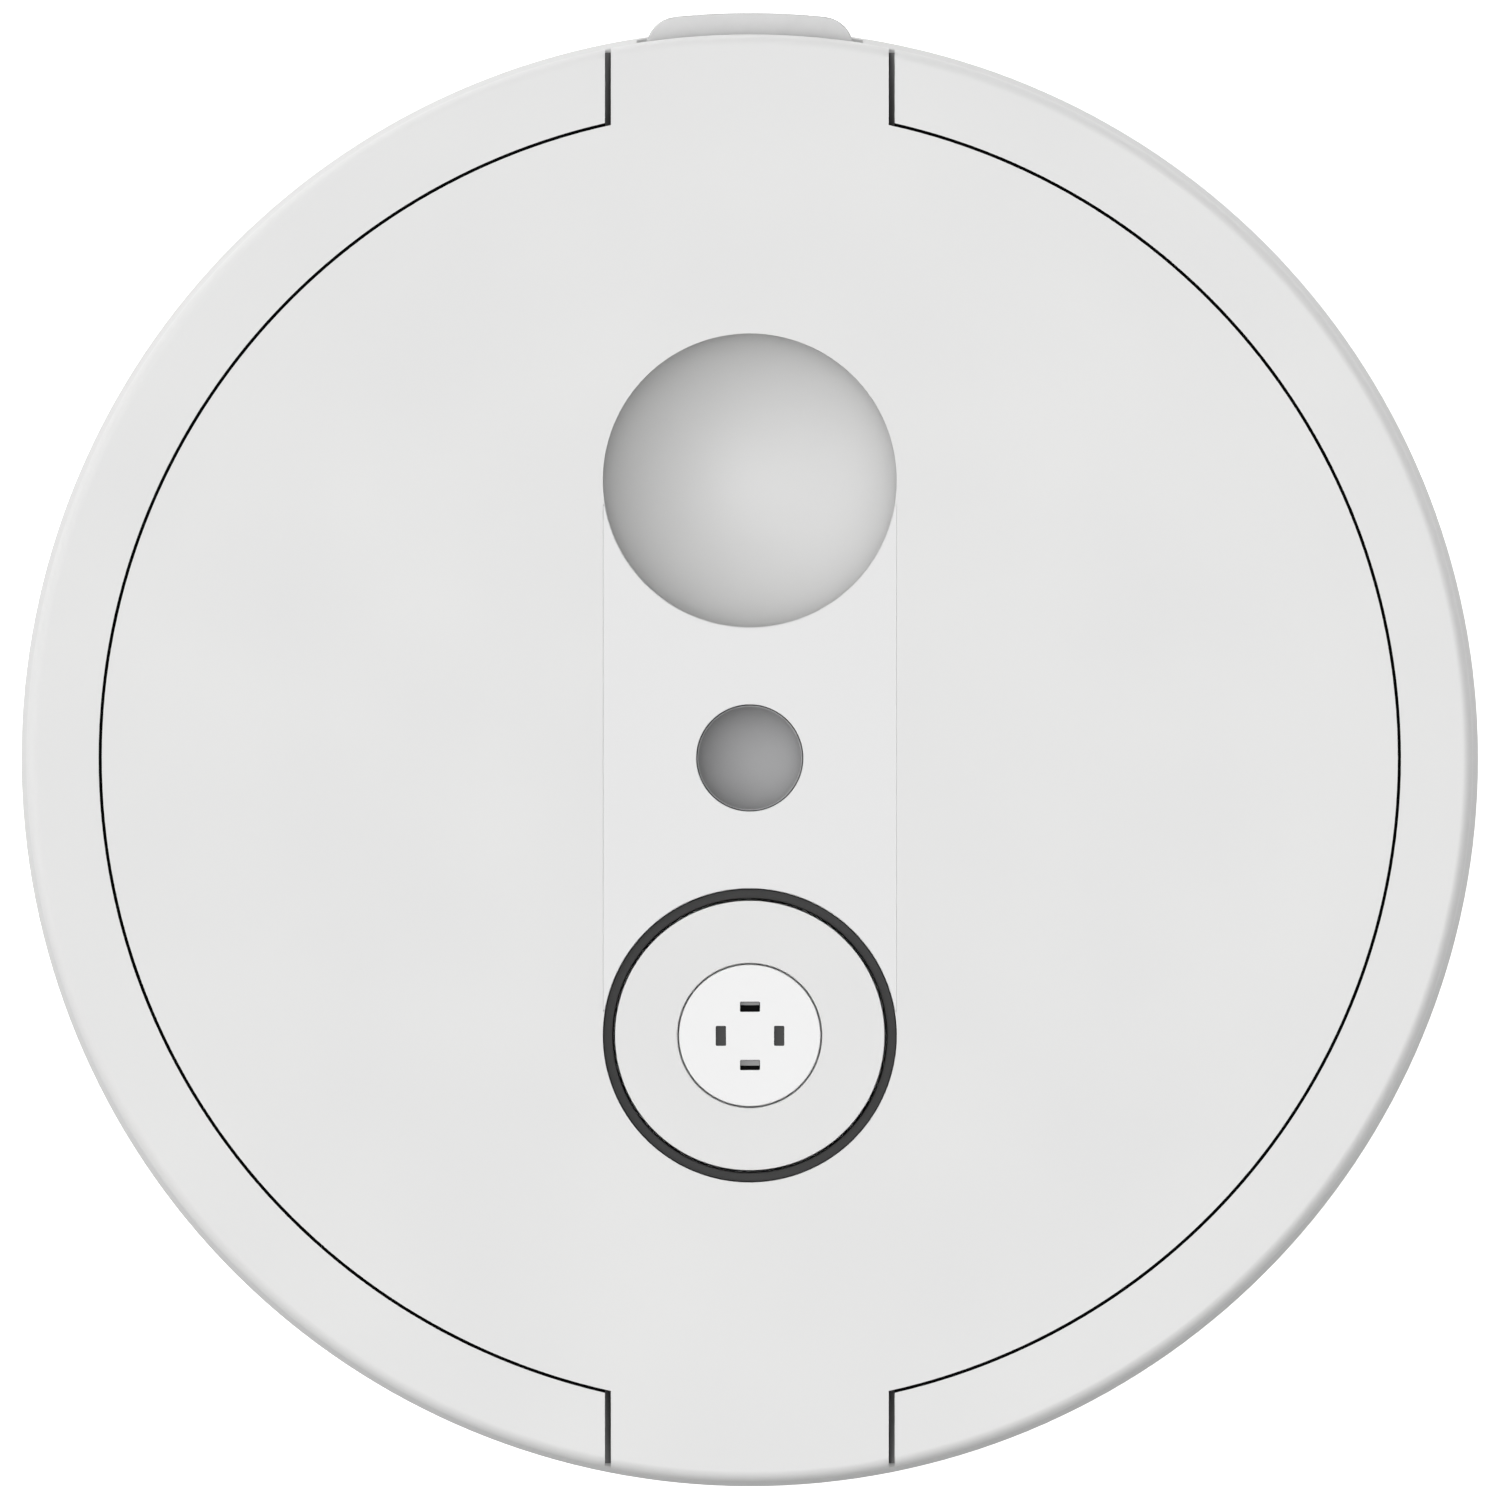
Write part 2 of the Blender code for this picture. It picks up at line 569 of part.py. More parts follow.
def make_base_plate():
    radius = INNER_RADIUS - SEAM
    plate = cylinder("base_plate", radius, GROUND_GAP, FLOOR_TOP, steps=ROUND, finish="shell_white")
    low, high = GROUND_GAP - 1, FLOOR_TOP + 1
    cut(plate, cylinder("pen_outlet", SLEEVE_RADIUS + STACK, low, high, steps=24))
    slot = math.sqrt(WHEEL_RADIUS**2 - (AXLE_Z - FLOOR_TOP) ** 2) + WHEEL_GAP
    for side, name in ((-1, "left"), (1, "right")):
        near, far = WHEEL_INNER - WHEEL_GAP, WHEEL_OUTER + WHEEL_GAP
        ends = sorted((side * near, side * far))
        cut(plate, box(f"{name}_wheel_slot", (ends[0], -slot, low), (ends[1], slot, high)))
    for name, y in (("front", CASTER_OFFSET), ("rear", -CASTER_OFFSET)):
        hole = BALL_RADIUS + BALL_GAP + SOCKET_WALL + SEAM
        cut(plate, cylinder(f"{name}_caster_hole", hole, low, high, (0, y, 0), steps=24))
    wide, deep = LINE_HALF
    cut(plate, box("line_opening", (-wide, LINE_WINDOW_Y - deep, low), (wide, LINE_WINDOW_Y + deep, high)))
    door = door_box(SEAM)
    cut(plate, box("door_recess", (door[0], door[1], low), (door[2], door[3], GROUND_GAP + DOOR + STACK)))
    half = BATTERY_LENGTH / 2 + 1.5
    deep = BATTERY_RADIUS + SLACK
    cut(plate, box("battery_opening", (-half, BATTERY_Y - deep, low), (half, BATTERY_Y + deep, high)))
    radius, height = DOOR_BOSS
    at = (0, DOOR_SCREW_Y, 0)
    join(plate, cylinder("door_boss", radius, FLOOR_TOP - 1, FLOOR_TOP + height, at))
    cut(plate, cylinder("door_boss_hole", SCREW_RADIUS + RUNNING, low, FLOOR_TOP + height - 1, at))
    for i, (x, y) in enumerate(POSTS):
        top = MAIN_TOP - MAIN_BOARD - STACK
        join(plate, cylinder(f"post_{i}", POST_RADIUS, FLOOR_TOP - 1, top, (x, y, 0)))
    for i, angle in enumerate(BOSS_ANGLES):
        at = on_circle(BOSS_CIRCLE, angle)
        cut(plate, cylinder(f"screw_hole_{i}", SCREW_RADIUS + RUNNING, low, high, at, steps=12))
        cut(plate, cylinder(f"screw_seat_{i}", SCREW_HEAD + SEAM, low, GROUND_GAP + SEAT_DEPTH, at))
    x, y, radius, _ = SPEAKER
    spots = [(0, 0, 0)] + [on_circle(radius / 2, math.pi / 3 * i) for i in range(6)]
    for i, (dx, dy, _) in enumerate(spots):
        cut(plate, cylinder(f"sound_hole_{i}", SOUND_HOLE, low, high, (x + dx, y + dy, 0), steps=6))


def door_box(grow):
    """Corners of the battery door, grown by a clearance: x low, y low, x high, y high."""
    half = BATTERY_LENGTH / 2 + DOOR_LAP[0] + grow
    front = BATTERY_Y + BATTERY_RADIUS + DOOR_LAP[1] + grow
    return (-half, DOOR_SCREW_Y - DOOR_SCREW_LAP - grow, half, front)


def screw(name, at, length):
    """A pan-head screw driven upwards, head below; at is the seat under the head."""
    profile = [
        (0, length),
        (SCREW_RADIUS * 0.5, length),
        (SCREW_RADIUS, length - 1.5),
        (SCREW_RADIUS, 0),
        (SCREW_HEAD, 0),
        (SCREW_HEAD, -HEAD_HEIGHT * 0.5),
        (SCREW_HEAD * 0.7, -HEAD_HEIGHT),
        (0, -HEAD_HEIGHT),
    ]
    turned(name, profile, "steel", at, steps=SMALL)


def make_door_and_screws():
    x0, y0, x1, y1 = door_box(0)
    door = box("battery_door", (x0, y0, GROUND_GAP), (x1, y1, GROUND_GAP + DOOR), "shell_white")
    at = (0, DOOR_SCREW_Y, 0)
    cut(door, cylinder("door_screw_hole", SCREW_RADIUS + RUNNING, GROUND_GAP - 1, GROUND_GAP + BEYOND, at))
    screw("battery_door_screw", (0, DOOR_SCREW_Y, GROUND_GAP - 0.02), DOOR_SCREW_LENGTH)
    for i, angle in enumerate(BOSS_ANGLES):
        seat = GROUND_GAP + SEAT_DEPTH - 0.05
        screw(f"base_screw_{i + 1}", on_circle(BOSS_CIRCLE, angle, seat), BASE_SCREW_LENGTH)


# Pen well


def make_pen_parts():
    guide = SLEEVE_BORE - SLEEVE_NARROW
    flange = SLEEVE_RADIUS + SLEEVE_FLANGE[0]
    flange_foot = FLOOR_TOP + STACK
    flange_top = flange_foot + SLEEVE_FLANGE[1]
    sleeve = [
        (SLEEVE_RADIUS, LAYER_FOOT - STACK),
        (SLEEVE_RADIUS, flange_top),
        (flange, flange_top),
        (flange, flange_foot),
        (SLEEVE_RADIUS, flange_foot),
        (SLEEVE_RADIUS, GROUND_GAP),
        (guide, GROUND_GAP),
        (guide, SLEEVE_STEP_Z),
        (SLEEVE_BORE, SLEEVE_STEP_Z),
        (SLEEVE_BORE, LAYER_FOOT - STACK),
    ]
    turned("pen_sleeve", sleeve, "part_black", steps=20)
    outer = PEN_HOLE - PLUG_GAP
    top = BODY_TOP - PLUG_SINK
    hollow = reversed(dish_profile(outer - PLUG_LIP, PLUG_DISH, top))
    foot = SLEEVE_STEP_Z + STACK
    plug = [(0, top - PLUG_DISH), *hollow, (outer, top), (outer, foot + 0.8), (outer - 0.8, foot), (0, foot)]
    turned("pen_plug", plug, "plug_grey", steps=24)


# Direction pad


def make_light_ring():
    top = BODY_TOP - RING_SINK
    foot = WELL_FLOOR + STACK
    outer = RING_INNER + RING_WIDTH
    ring = [(outer, top), (outer, foot), (RING_INNER, foot), (RING_INNER, top)]
    turned("light_ring", ring, "ring_smoke", (0, -FEATURE_OFFSET, 0))


def make_keypad_board():
    foot = WELL_FLOOR + STACK
    centre = (0, -FEATURE_OFFSET, 0)
    radius = RING_INNER - SEAM
    board = cylinder("keypad_board", radius, foot, KEY_BOARD_TOP, centre, finish="board_green", steps=MEDIUM)
    spots = [(0, 0), (KEY_RADIUS, 0), (0, KEY_RADIUS), (-KEY_RADIUS, 0), (0, -KEY_RADIUS)]
    for i, (x, y) in enumerate(spots):
        at = (x, y - FEATURE_OFFSET, 0)
        top = KEY_BOARD_TOP + DOME_HIGH
        join(board, cylinder(f"dome_{i}", DOME, KEY_BOARD_TOP - 0.3, top, at, steps=8, tip=DOME * 0.6))
    for side in (-1, 1):
        ends = sorted((side * (GIMBAL_OUTER + 0.35), side * (GIMBAL_OUTER + 1.45)))
        low = (ends[0], -FEATURE_OFFSET - 1.2, KEY_BOARD_TOP - 0.3)
        high = (ends[1], -FEATURE_OFFSET + 1.2, PIVOT_Z + 1.1)
        join(board, box(f"pivot_post_{side}", low, high))
    at = (0, -FEATURE_OFFSET, PIVOT_Z)
    cut(board, cylinder("pivot_bore", PIVOT_PIN + PIVOT_SLACK, -20, 20, at, X_AXIS, steps=10))


def make_gimbal():
    """The ring that lets the pad rock: it turns about X in the board's posts and carries the pad about Y."""
    at = (0, -FEATURE_OFFSET, PIVOT_Z)
    half = GIMBAL_THICK / 2
    profile = [(GIMBAL_OUTER, half), (GIMBAL_OUTER, -half), (GIMBAL_INNER, -half), (GIMBAL_INNER, half)]
    ring = turned("pad_gimbal", profile, "steel", at, steps=20)
    for side in (-1, 1):
        outward = sorted((side * (GIMBAL_INNER + 0.5), side * (GIMBAL_OUTER + 1.3)))
        join(ring, cylinder(f"outer_pin_{side}", PIVOT_PIN, *outward, at, X_AXIS, steps=8))
        inward = sorted((side * (GIMBAL_INNER - 1.5), side * (GIMBAL_OUTER - 0.5)))
        join(ring, cylinder(f"inner_pin_{side}", PIVOT_PIN, *inward, at, Y_AXIS, steps=8))


def make_direction_pad():
    at = (0, -FEATURE_OFFSET, PIVOT_Z)
    top = BODY_TOP - PIVOT_Z
    under = top - PAD_THICK
    bore = CAP_RADIUS + CAP_GAP
    skirt = bore + 1.2
    profile = [
        (PAD_RADIUS - 0.3, top),
        (PAD_RADIUS, top - 0.3),
        (PAD_RADIUS, under),
        (skirt, under),
        (skirt, under - PAD_WEB),
        (STEM_RADIUS + 1.0, under - PAD_WEB),
        (STEM_RADIUS + 1.0, under),
        (bore, under),
        (bore, top),
    ]
    pad = turned("direction_pad", profile, "shell_white", at)
    reach = KEY_BOARD_TOP + DOME_HIGH + PAD_TRAVEL
    root = BODY_TOP - PAD_THICK - 0.5
    spots = [(KEY_RADIUS, 0), (0, KEY_RADIUS), (-KEY_RADIUS, 0), (0, -KEY_RADIUS)]
    for i, (x, y) in enumerate(spots):
        foot = (x, y - FEATURE_OFFSET, 0)
        join(pad, cylinder(f"plunger_{i}", PLUNGER_RADIUS, reach, root, foot, steps=10))
    for side in (-1, 1):
        ends = sorted((side * 8.75, side * 10.05))
        low = (-1.1, ends[0] - FEATURE_OFFSET, PIVOT_Z - 1.0)
        high = (1.1, ends[1] - FEATURE_OFFSET, BODY_TOP - PAD_THICK + 0.3)
        join(pad, box(f"pad_lug_{side}", low, high))
    cut(pad, cylinder("lug_bore", PIVOT_PIN + PIVOT_SLACK, -20, 20, at, Y_AXIS, steps=10))


def slot_boxes(grow, low, high):
    """The four windows of the cap, front, rear, right and left, as boxes."""
    made = []
    for x, y, wide, deep in (
        (0, SLOT_OFFSET, SLOT_LENGTH, SLOT_WIDTH),
        (0, -SLOT_OFFSET, SLOT_LENGTH, SLOT_WIDTH),
        (SLOT_OFFSET, 0, SLOT_WIDTH, SLOT_LENGTH),
        (-SLOT_OFFSET, 0, SLOT_WIDTH, SLOT_LENGTH),
    ):
        y -= FEATURE_OFFSET
        corner = (wide / 2 + grow, deep / 2 + grow)
        name = f"slot_{len(made)}_{grow}"
        made.append(box(name, (x - corner[0], y - corner[1], low), (x + corner[0], y + corner[1], high)))
    return made


def make_go_button():
    at = (0, -FEATURE_OFFSET, BODY_TOP)
    under = CAP_POCKET - CAP_THICK
    stem_end = KEY_BOARD_TOP + DOME_HIGH + GO_TRAVEL + 0.2 - BODY_TOP
    profile = [
        (0, 0),
        (CAP_RADIUS - 0.25, 0),
        (CAP_RADIUS, -0.25),
        (CAP_RADIUS, -CAP_THICK),
        (GUIDE_RADIUS, -CAP_THICK),
        (GUIDE_RADIUS, under),
        (STEM_RADIUS, under),
        (STEM_RADIUS, stem_end),
        (0, stem_end),
    ]
    cap = turned("go_button", profile, "cap_white", at)
    cut(cap, *slot_boxes(0, BODY_TOP - 3, BODY_TOP + 1))
    top = BODY_TOP + under - 0.1
    rim, bore = GUIDE_RADIUS - STACK, STEM_RADIUS + STACK
    light = [(rim, top), (rim, top - GUIDE_THICK), (bore, top - GUIDE_THICK), (bore, top)]
    plate = turned("go_light_guide", light, "guide_grey", (0, -FEATURE_OFFSET, 0), steps=20)
    join(plate, *slot_boxes(-0.1, top - 0.3, BODY_TOP - 0.5))


# Drive, one of each on both sides


def involute_gear(teeth):
    """Outline of a spur gear with a tooth on the +X side of its own plane."""
    pitch = GEAR_MODULE * teeth / 2
    base = pitch * math.cos(PRESSURE_ANGLE)
    tip = pitch + ADDENDUM * GEAR_MODULE
    root = pitch - DEDENDUM * GEAR_MODULE
    half_tooth = (math.pi * GEAR_MODULE / 2 - BACKLASH) / (2 * pitch)
    swing = math.tan(PRESSURE_ANGLE) - PRESSURE_ANGLE

    def flank(radius):
        """Half the tooth's angle at this radius."""
        roll = math.sqrt(max((radius / base) ** 2 - 1, 0))
        return half_tooth + swing - (roll - math.atan(roll))

    start = max(base, root)
    radii = (start, tip)
    outline = []
    for tooth in range(teeth):
        middle_angle = 2 * math.pi * tooth / teeth
        rising = [(r, middle_angle - flank(r)) for r in radii]
        falling = [(r, middle_angle + flank(r)) for r in reversed(radii)]
        if root < start - 0.05:
            rising.insert(0, (root, middle_angle - flank(start)))
            falling.append((root, middle_angle + flank(start)))
        outline += [(r * math.cos(a), r * math.sin(a)) for r, a in rising + falling]
    return outline


def meshing_turn(turn, teeth, other_teeth, direction):
    """How far the second gear is turned so that its teeth fall in the first one's gaps.

    direction is the angle from the first gear's centre to the second's.
    """
    first, second = GEAR_MODULE * teeth / 2, GEAR_MODULE * other_teeth / 2
    half_pitch = math.pi * GEAR_MODULE / 2
    return direction + math.pi + (half_pitch - (turn - direction) * first) / second


def gear_body(name, teeth, turn, low, high, at, finish=None):
    outline = [
        (x * math.cos(turn) - y * math.sin(turn), x * math.sin(turn) + y * math.cos(turn))
        for x, y in involute_gear(teeth)
    ]
    return prism(name, outline, low, high, finish, at, X_AXIS)


def make_wheel(side, name):
    at = (side * (WHEEL_OUTER - WHEEL_WIDTH / 2), 0, AXLE_Z)
    half = WHEEL_WIDTH / 2
    seat = WHEEL_RADIUS - TYRE_THICK
    lip, well = seat - 2.6, seat - 3.0
    bore = AXLE_RADIUS + PRESSED
    side_in = [(seat, half), (seat, -half), (lip, -half), (well, -WEB_HALF), (HUB_RADIUS, -WEB_HALF)]
    hub = [(HUB_RADIUS, -half), (bore, -half), (bore, half), (HUB_RADIUS, half)]
    rim = [*side_in, *hub, (HUB_RADIUS, WEB_HALF), (well, WEB_HALF), (lip, half)]
    wheel = turned(f"{name}_rim", rim, "rim_grey", at, X_AXIS)
    spoke_ring = (HUB_RADIUS + well) / 2
    for i in range(RIM_HOLES):
        a = math.pi * 2 * i / RIM_HOLES + math.pi / 2
        spot = (at[0], at[1] + spoke_ring * math.cos(a), at[2] + spoke_ring * math.sin(a))
        cut(wheel, cylinder(f"{name}_rim_hole_{i}", RIM_HOLE_RADIUS, -half, half, spot, X_AXIS, steps=8))
    inside = seat + TYRE_SEAT_GAP
    shoulder = half - TYRE_SHOULDER
    tyre = [
        (WHEEL_RADIUS - TYRE_CROWN, half),
        (WHEEL_RADIUS, shoulder),
        (WHEEL_RADIUS, -shoulder),
        (WHEEL_RADIUS - TYRE_CROWN, -half),
        (inside, -half),
        (inside, half),
    ]
    turned(f"{name}_tyre", tyre, "tyre_rubber", at, X_AXIS)
    inner_end, outer_end = BAY_INNER - FRAME_PLATE + 0.3, WHEEL_OUTER + 0.4
    ends = sorted((side * inner_end - at[0], side * outer_end - at[0]))
    cylinder(f"{name}_axle", AXLE_RADIUS, *ends, at, X_AXIS, "steel", SHAFT_STEPS)


def make_gears(side, name):
    """Pinion on the motor, a double idler and the axle's gear, all in mesh."""
    bay = side * BAY_INNER

    def span(near, far):
        return sorted((side * near, side * far))

    axle = (bay, 0, AXLE_Z)
    out_near, out_far = 6.0, 6.0 + GEAR_FACE
    output = gear_body(f"{name}_output_gear", LARGE_TEETH, 0, *span(out_near, out_far), axle, "gear_acetal")
    hub = span(out_near + 0.5, out_far + 1.6)
    join(output, cylinder(f"{name}_output_hub", GEAR_HUB, *hub, axle, X_AXIS))
    bore = AXLE_RADIUS + PRESSED
    cut(output, cylinder(f"{name}_output_bore", bore, -40, 40, axle, X_AXIS, steps=SHAFT_STEPS))

    idler = (bay, IDLER_Y, IDLER_Z)
    small_turn = meshing_turn(0, LARGE_TEETH, SMALL_TEETH, IDLER_ANGLE)
    big = gear_body(f"{name}_idler_gear", LARGE_TEETH, 0, *span(1.0, 1.0 + GEAR_FACE), idler, "gear_acetal")
    join(big, gear_body(f"{name}_idler_small", SMALL_TEETH, small_turn, *span(3.0, GEAR_BAY - 1.6), idler))
    cut(big, cylinder(f"{name}_idler_bore", PIN_RADIUS + RUNNING, -40, 40, idler, X_AXIS, steps=14))
    ends = span(0.3 - FRAME_PLATE, GEAR_BAY + FRAME_PLATE - 0.3)
    cylinder(f"{name}_idler_pin", PIN_RADIUS, *ends, idler, X_AXIS, "steel")

    motor = (bay, MOTOR_Y, MOTOR_Z)
    pinion_turn = meshing_turn(0, LARGE_TEETH, SMALL_TEETH, MOTOR_ANGLE)
    pinion = gear_body(f"{name}_pinion", SMALL_TEETH, pinion_turn, *span(0.6, 4.6), motor, "steel")
    shaft = span(-FRAME_PLATE - 2.5, 1.5)
    join(pinion, cylinder(f"{name}_motor_shaft", MOTOR_SHAFT, *shaft, motor, X_AXIS))


def make_motor(side, name):
    front = BAY_INNER - FRAME_PLATE - STACK
    at = (side * (front - MOTOR_LENGTH / 2), MOTOR_Y, MOTOR_Z)
    half = MOTOR_LENGTH / 2
    can = cylinder(f"{name}_motor", MOTOR_RADIUS, -half, half, at, X_AXIS, "motor_can", 28)
    low = (at[0] - half - 1, at[1] - MOTOR_RADIUS - 1, at[2] - MOTOR_FLAT)
    high = (at[0] + half + 1, at[1] + MOTOR_RADIUS + 1, at[2] + MOTOR_FLAT)
    change(can, "INTERSECT", box(f"{name}_motor_flats", low, high))
    boss = sorted((side * (half - 1), side * (half + 1.7)))
    join(can, cylinder(f"{name}_motor_boss", MOTOR_BOSS, *boss, at, X_AXIS))
    bore = sorted((side * (half - 3.5), side * (half + 3)))
    cut(can, cylinder(f"{name}_motor_bore", MOTOR_SHAFT + RUNNING, *bore, at, X_AXIS, steps=12))


def make_gearbox(side, name):
    """Two plates with feet on the floor and pillars at the top, which hold axle, idler pin and motor."""
    low_z, high_z = FLOOR_TOP + STACK, IDLER_Z + 12.5
    back = -(GEAR_MODULE * (LARGE_TEETH / 2 + ADDENDUM) + 5.0)
    front = MOTOR_Y + MOTOR_RADIUS + 1.0
    inner = sorted((side * (BAY_INNER - FRAME_PLATE), side * BAY_INNER))
    outer = sorted((side * BAY_OUTER, side * (BAY_OUTER + FRAME_PLATE)))
    frame = box(f"{name}_gearbox", (inner[0], back, low_z), (inner[1], front, high_z), "part_black")
    join(frame, box(f"{name}_outer_plate", (outer[0], back, low_z), (outer[1], front, high_z)))
    reach = sorted((side * (BAY_INNER - 1), side * (BAY_OUTER + 1)))
    gear_edge = GEAR_MODULE * (LARGE_TEETH / 2 + ADDENDUM) + 0.8
    foot_z, foot_top = low_z + 0.1, low_z + FRAME_PLATE
    for end, start, stop in (("rear", back + 0.1, -gear_edge), ("front", gear_edge + 2, front - 0.1)):
        join(frame, box(f"{name}_{end}_foot", (reach[0], start, foot_z), (reach[1], stop, foot_top)))
    for i, y in enumerate((back + 3, front - 3)):
        spot = (0, y, high_z - 3)
        join(frame, cylinder(f"{name}_pillar_{i}", PILLAR_RADIUS, *reach, spot, X_AXIS))
    bores = (
        (AXLE_RADIUS + RUNNING, (0, 0, AXLE_Z), inner[0] - 1, inner[1] + 1),
        (AXLE_RADIUS + RUNNING, (0, 0, AXLE_Z), outer[0] - 1, outer[1] + 1),
        (PIN_RADIUS + 0.05, (0, IDLER_Y, IDLER_Z), inner[0] - 1, inner[1] + 1),
        (PIN_RADIUS + 0.05, (0, IDLER_Y, IDLER_Z), outer[0] - 1, outer[1] + 1),
        (MOTOR_BOSS + STACK, (0, MOTOR_Y, MOTOR_Z), inner[0] - 1, inner[1] + 1),
    )
    for i, (radius, spot, start, end) in enumerate(bores):
        cut(frame, cylinder(f"{name}_bore_{i}", radius, start, end, spot, X_AXIS))
    # A window in the outer plate shows the gears and saves material
    at = (0, MOTOR_Y, MOTOR_Z)
    cut(frame, cylinder(f"{name}_window", GEAR_WINDOW, outer[0] - 1, outer[1] + 1, at, X_AXIS, steps=14))


# Casters


def make_caster(name, y):
    cavity = BALL_RADIUS + BALL_GAP
    outer = cavity + SOCKET_WALL
    lip = GROUND_GAP - SOCKET_LIP_DROP
    lip_angle = math.asin((lip - BALL_RADIUS) / cavity)
    hollow = arc(cavity, lip_angle, math.pi / 2, 5, (0, BALL_RADIUS))[:-1]
    crown = BALL_RADIUS + cavity + SOCKET_WALL
    flange_foot = FLOOR_TOP + STACK
    flange_top = flange_foot + FLANGE_THICK
    profile = [
        (0, crown),
        (outer * 0.7, crown),
        (outer, crown - 2.2),
        (outer, flange_top),
        (outer + SOCKET_FLANGE, flange_top),
        (outer + SOCKET_FLANGE, flange_foot),
        (outer, flange_foot),
        (outer, lip + 0.6),
        (outer - 0.6, lip),
        *hollow,
        (0, BALL_RADIUS + cavity),
    ]
    turned(f"{name}_caster_socket", profile, "part_black", (0, y, 0), steps=20)

    def build(bm):
        bmesh.ops.create_uvsphere(bm, u_segments=16, v_segments=10, radius=BALL_RADIUS)

    ball = put(f"{name}_caster_ball", mesh_from("ball", build), (0, y, BALL_RADIUS), finish="steel")
    ball.data.shade_smooth()


# Nose with the distance sensor, which is also the front touch bumper


def nose_outline():
    """Plan view of the nose: straight sides, rounded corners and a front concentric with the body."""
    corner_x = NOSE_HALF - NOSE_CORNER
    corner_y = math.sqrt((NOSE_FRONT - NOSE_CORNER) ** 2 - corner_x**2)
    lean = math.atan2(corner_y, corner_x)
    back = NOSE_FRONT - NOSE_DEPTH
    corner = arc(NOSE_CORNER, 0, lean, 5, (corner_x, corner_y))
    bow = arc(NOSE_FRONT, lean, math.pi - lean, 6)[1:-1]
    return [(NOSE_HALF, back), *corner, *bow, *[(-x, y) for x, y in reversed(corner)], (-NOSE_HALF, back)]


def make_nose():
    nose = prism("nose_bumper", nose_outline(), NOSE_LOW, NOSE_HIGH, "shell_white")
    lap = NOSE_GAP + FLANGE_LAP
    wide = NOSE_HALF + lap
    back = FLANGE_FRONT - FLANGE
    join(nose, box("nose_flange", (-wide, back, NOSE_LOW - lap), (wide, FLANGE_FRONT, NOSE_HIGH)))
    low, high = NOSE_LOW + NOSE_WALL, NOSE_HIGH - NOSE_WALL
    half = NOSE_HALF - NOSE_WALL
    cut(nose, box("nose_hollow", (-half, NOSE_FRONT - NOSE_DEPTH - 2, low), (half, NOSE_FRONT - 2.5, high)))
    x, z = WINDOW_HALF
    z0, z1 = NOSE_MIDDLE - z, NOSE_MIDDLE + z
    cut(nose, box("nose_window_hole", (-x, NOSE_FRONT - 4, z0), (x, NOSE_FRONT + 1, z1)))
    front = NOSE_FRONT - LENS_SINK
    low_corner = (SEAM - x, front - LENS_THICK, z0 + SEAM)
    lens = box("nose_window", low_corner, (x - SEAM, front, z1 - SEAM), "lens_black")
    add_bevel(lens, 0.3, 1)


def make_front_bracket():
    low = FLOOR_TOP + STACK
    half, wall = BRACKET_HALF, BRACKET_WALL
    top = NOSE_HIGH + 0.5
    bracket = box("front_bracket", (-half, BRACKET_Y - wall, low), (half, BRACKET_Y, top), "part_black")
    for side in (-1, 1):
        ends = sorted((side * (half - wall), side * half))
        low_corner = (ends[0], BRACKET_Y - 5, low + 0.1)
        join(bracket, box(f"bracket_rib_{side}", low_corner, (ends[1], BRACKET_Y - 1, low + 12)))


def make_distance_sensor():
    """A small board with an emitter and a receiver barrel behind the dark window."""
    z = NOSE_MIDDLE
    back = BRACKET_Y + STACK
    half_x, half_z = 8.4, 8.0
    high_corner = (half_x, back + BOARD, z + half_z)
    board = box("distance_sensor", (-half_x, back, z - half_z), high_corner, "part_black")
    reach = NOSE_FRONT - 2.5 - NOSE_TRAVEL - 0.4
    offset, outer, bore = BARREL
    for side in (-1, 1):
        at = (side * offset, 0, z)
        join(board, cylinder(f"barrel_{side}", outer, back + 0.5, reach, at, Y_AXIS, steps=16))
        cut(board, cylinder(f"barrel_hole_{side}", bore, back + 3, reach + 1, at, Y_AXIS, steps=16))


def make_bumper_switch():
    back = BRACKET_Y + STACK
    top = NOSE_LOW - 0.3
    contact = FLANGE_FRONT - FLANGE - NOSE_TRAVEL - 0.2
    body = box("bumper_switch", (-3, back, top - 2.6), (3, contact - 1.1, top), "part_black")
    join(body, box("switch_plunger", (-0.8, contact - 1.5, top - 1.8), (0.8, contact, top - 0.5)))


def make_bumper_springs():
    """Two small coil springs between the bracket and the nose's flange."""
    start, end = BRACKET_Y + 0.4, FLANGE_FRONT - FLANGE - 0.3
    radius, turns, per_turn, wire = SPRING
    for side, name in ((-1, "left"), (1, "right")):
        curve = bpy.data.curves.new(f"{name}_bumper_spring", "CURVE")
        curve.dimensions = "3D"
        curve.bevel_depth = wire * MM
        curve.bevel_resolution = 0
        curve.use_fill_caps = True
        count = turns * per_turn
        spline = curve.splines.new("POLY")
        spline.points.add(count)
        for i, point in enumerate(spline.points):
            a = 2 * math.pi * i / per_turn
            along = wire + (end - start - 2 * wire) * i / count
            point.co = (radius * math.cos(a) * MM, along * MM, radius * math.sin(a) * MM, 1)
        put(f"{name}_bumper_spring", curve, (side * SPRING_X, start, NOSE_MIDDLE), finish="steel")


# Electronics


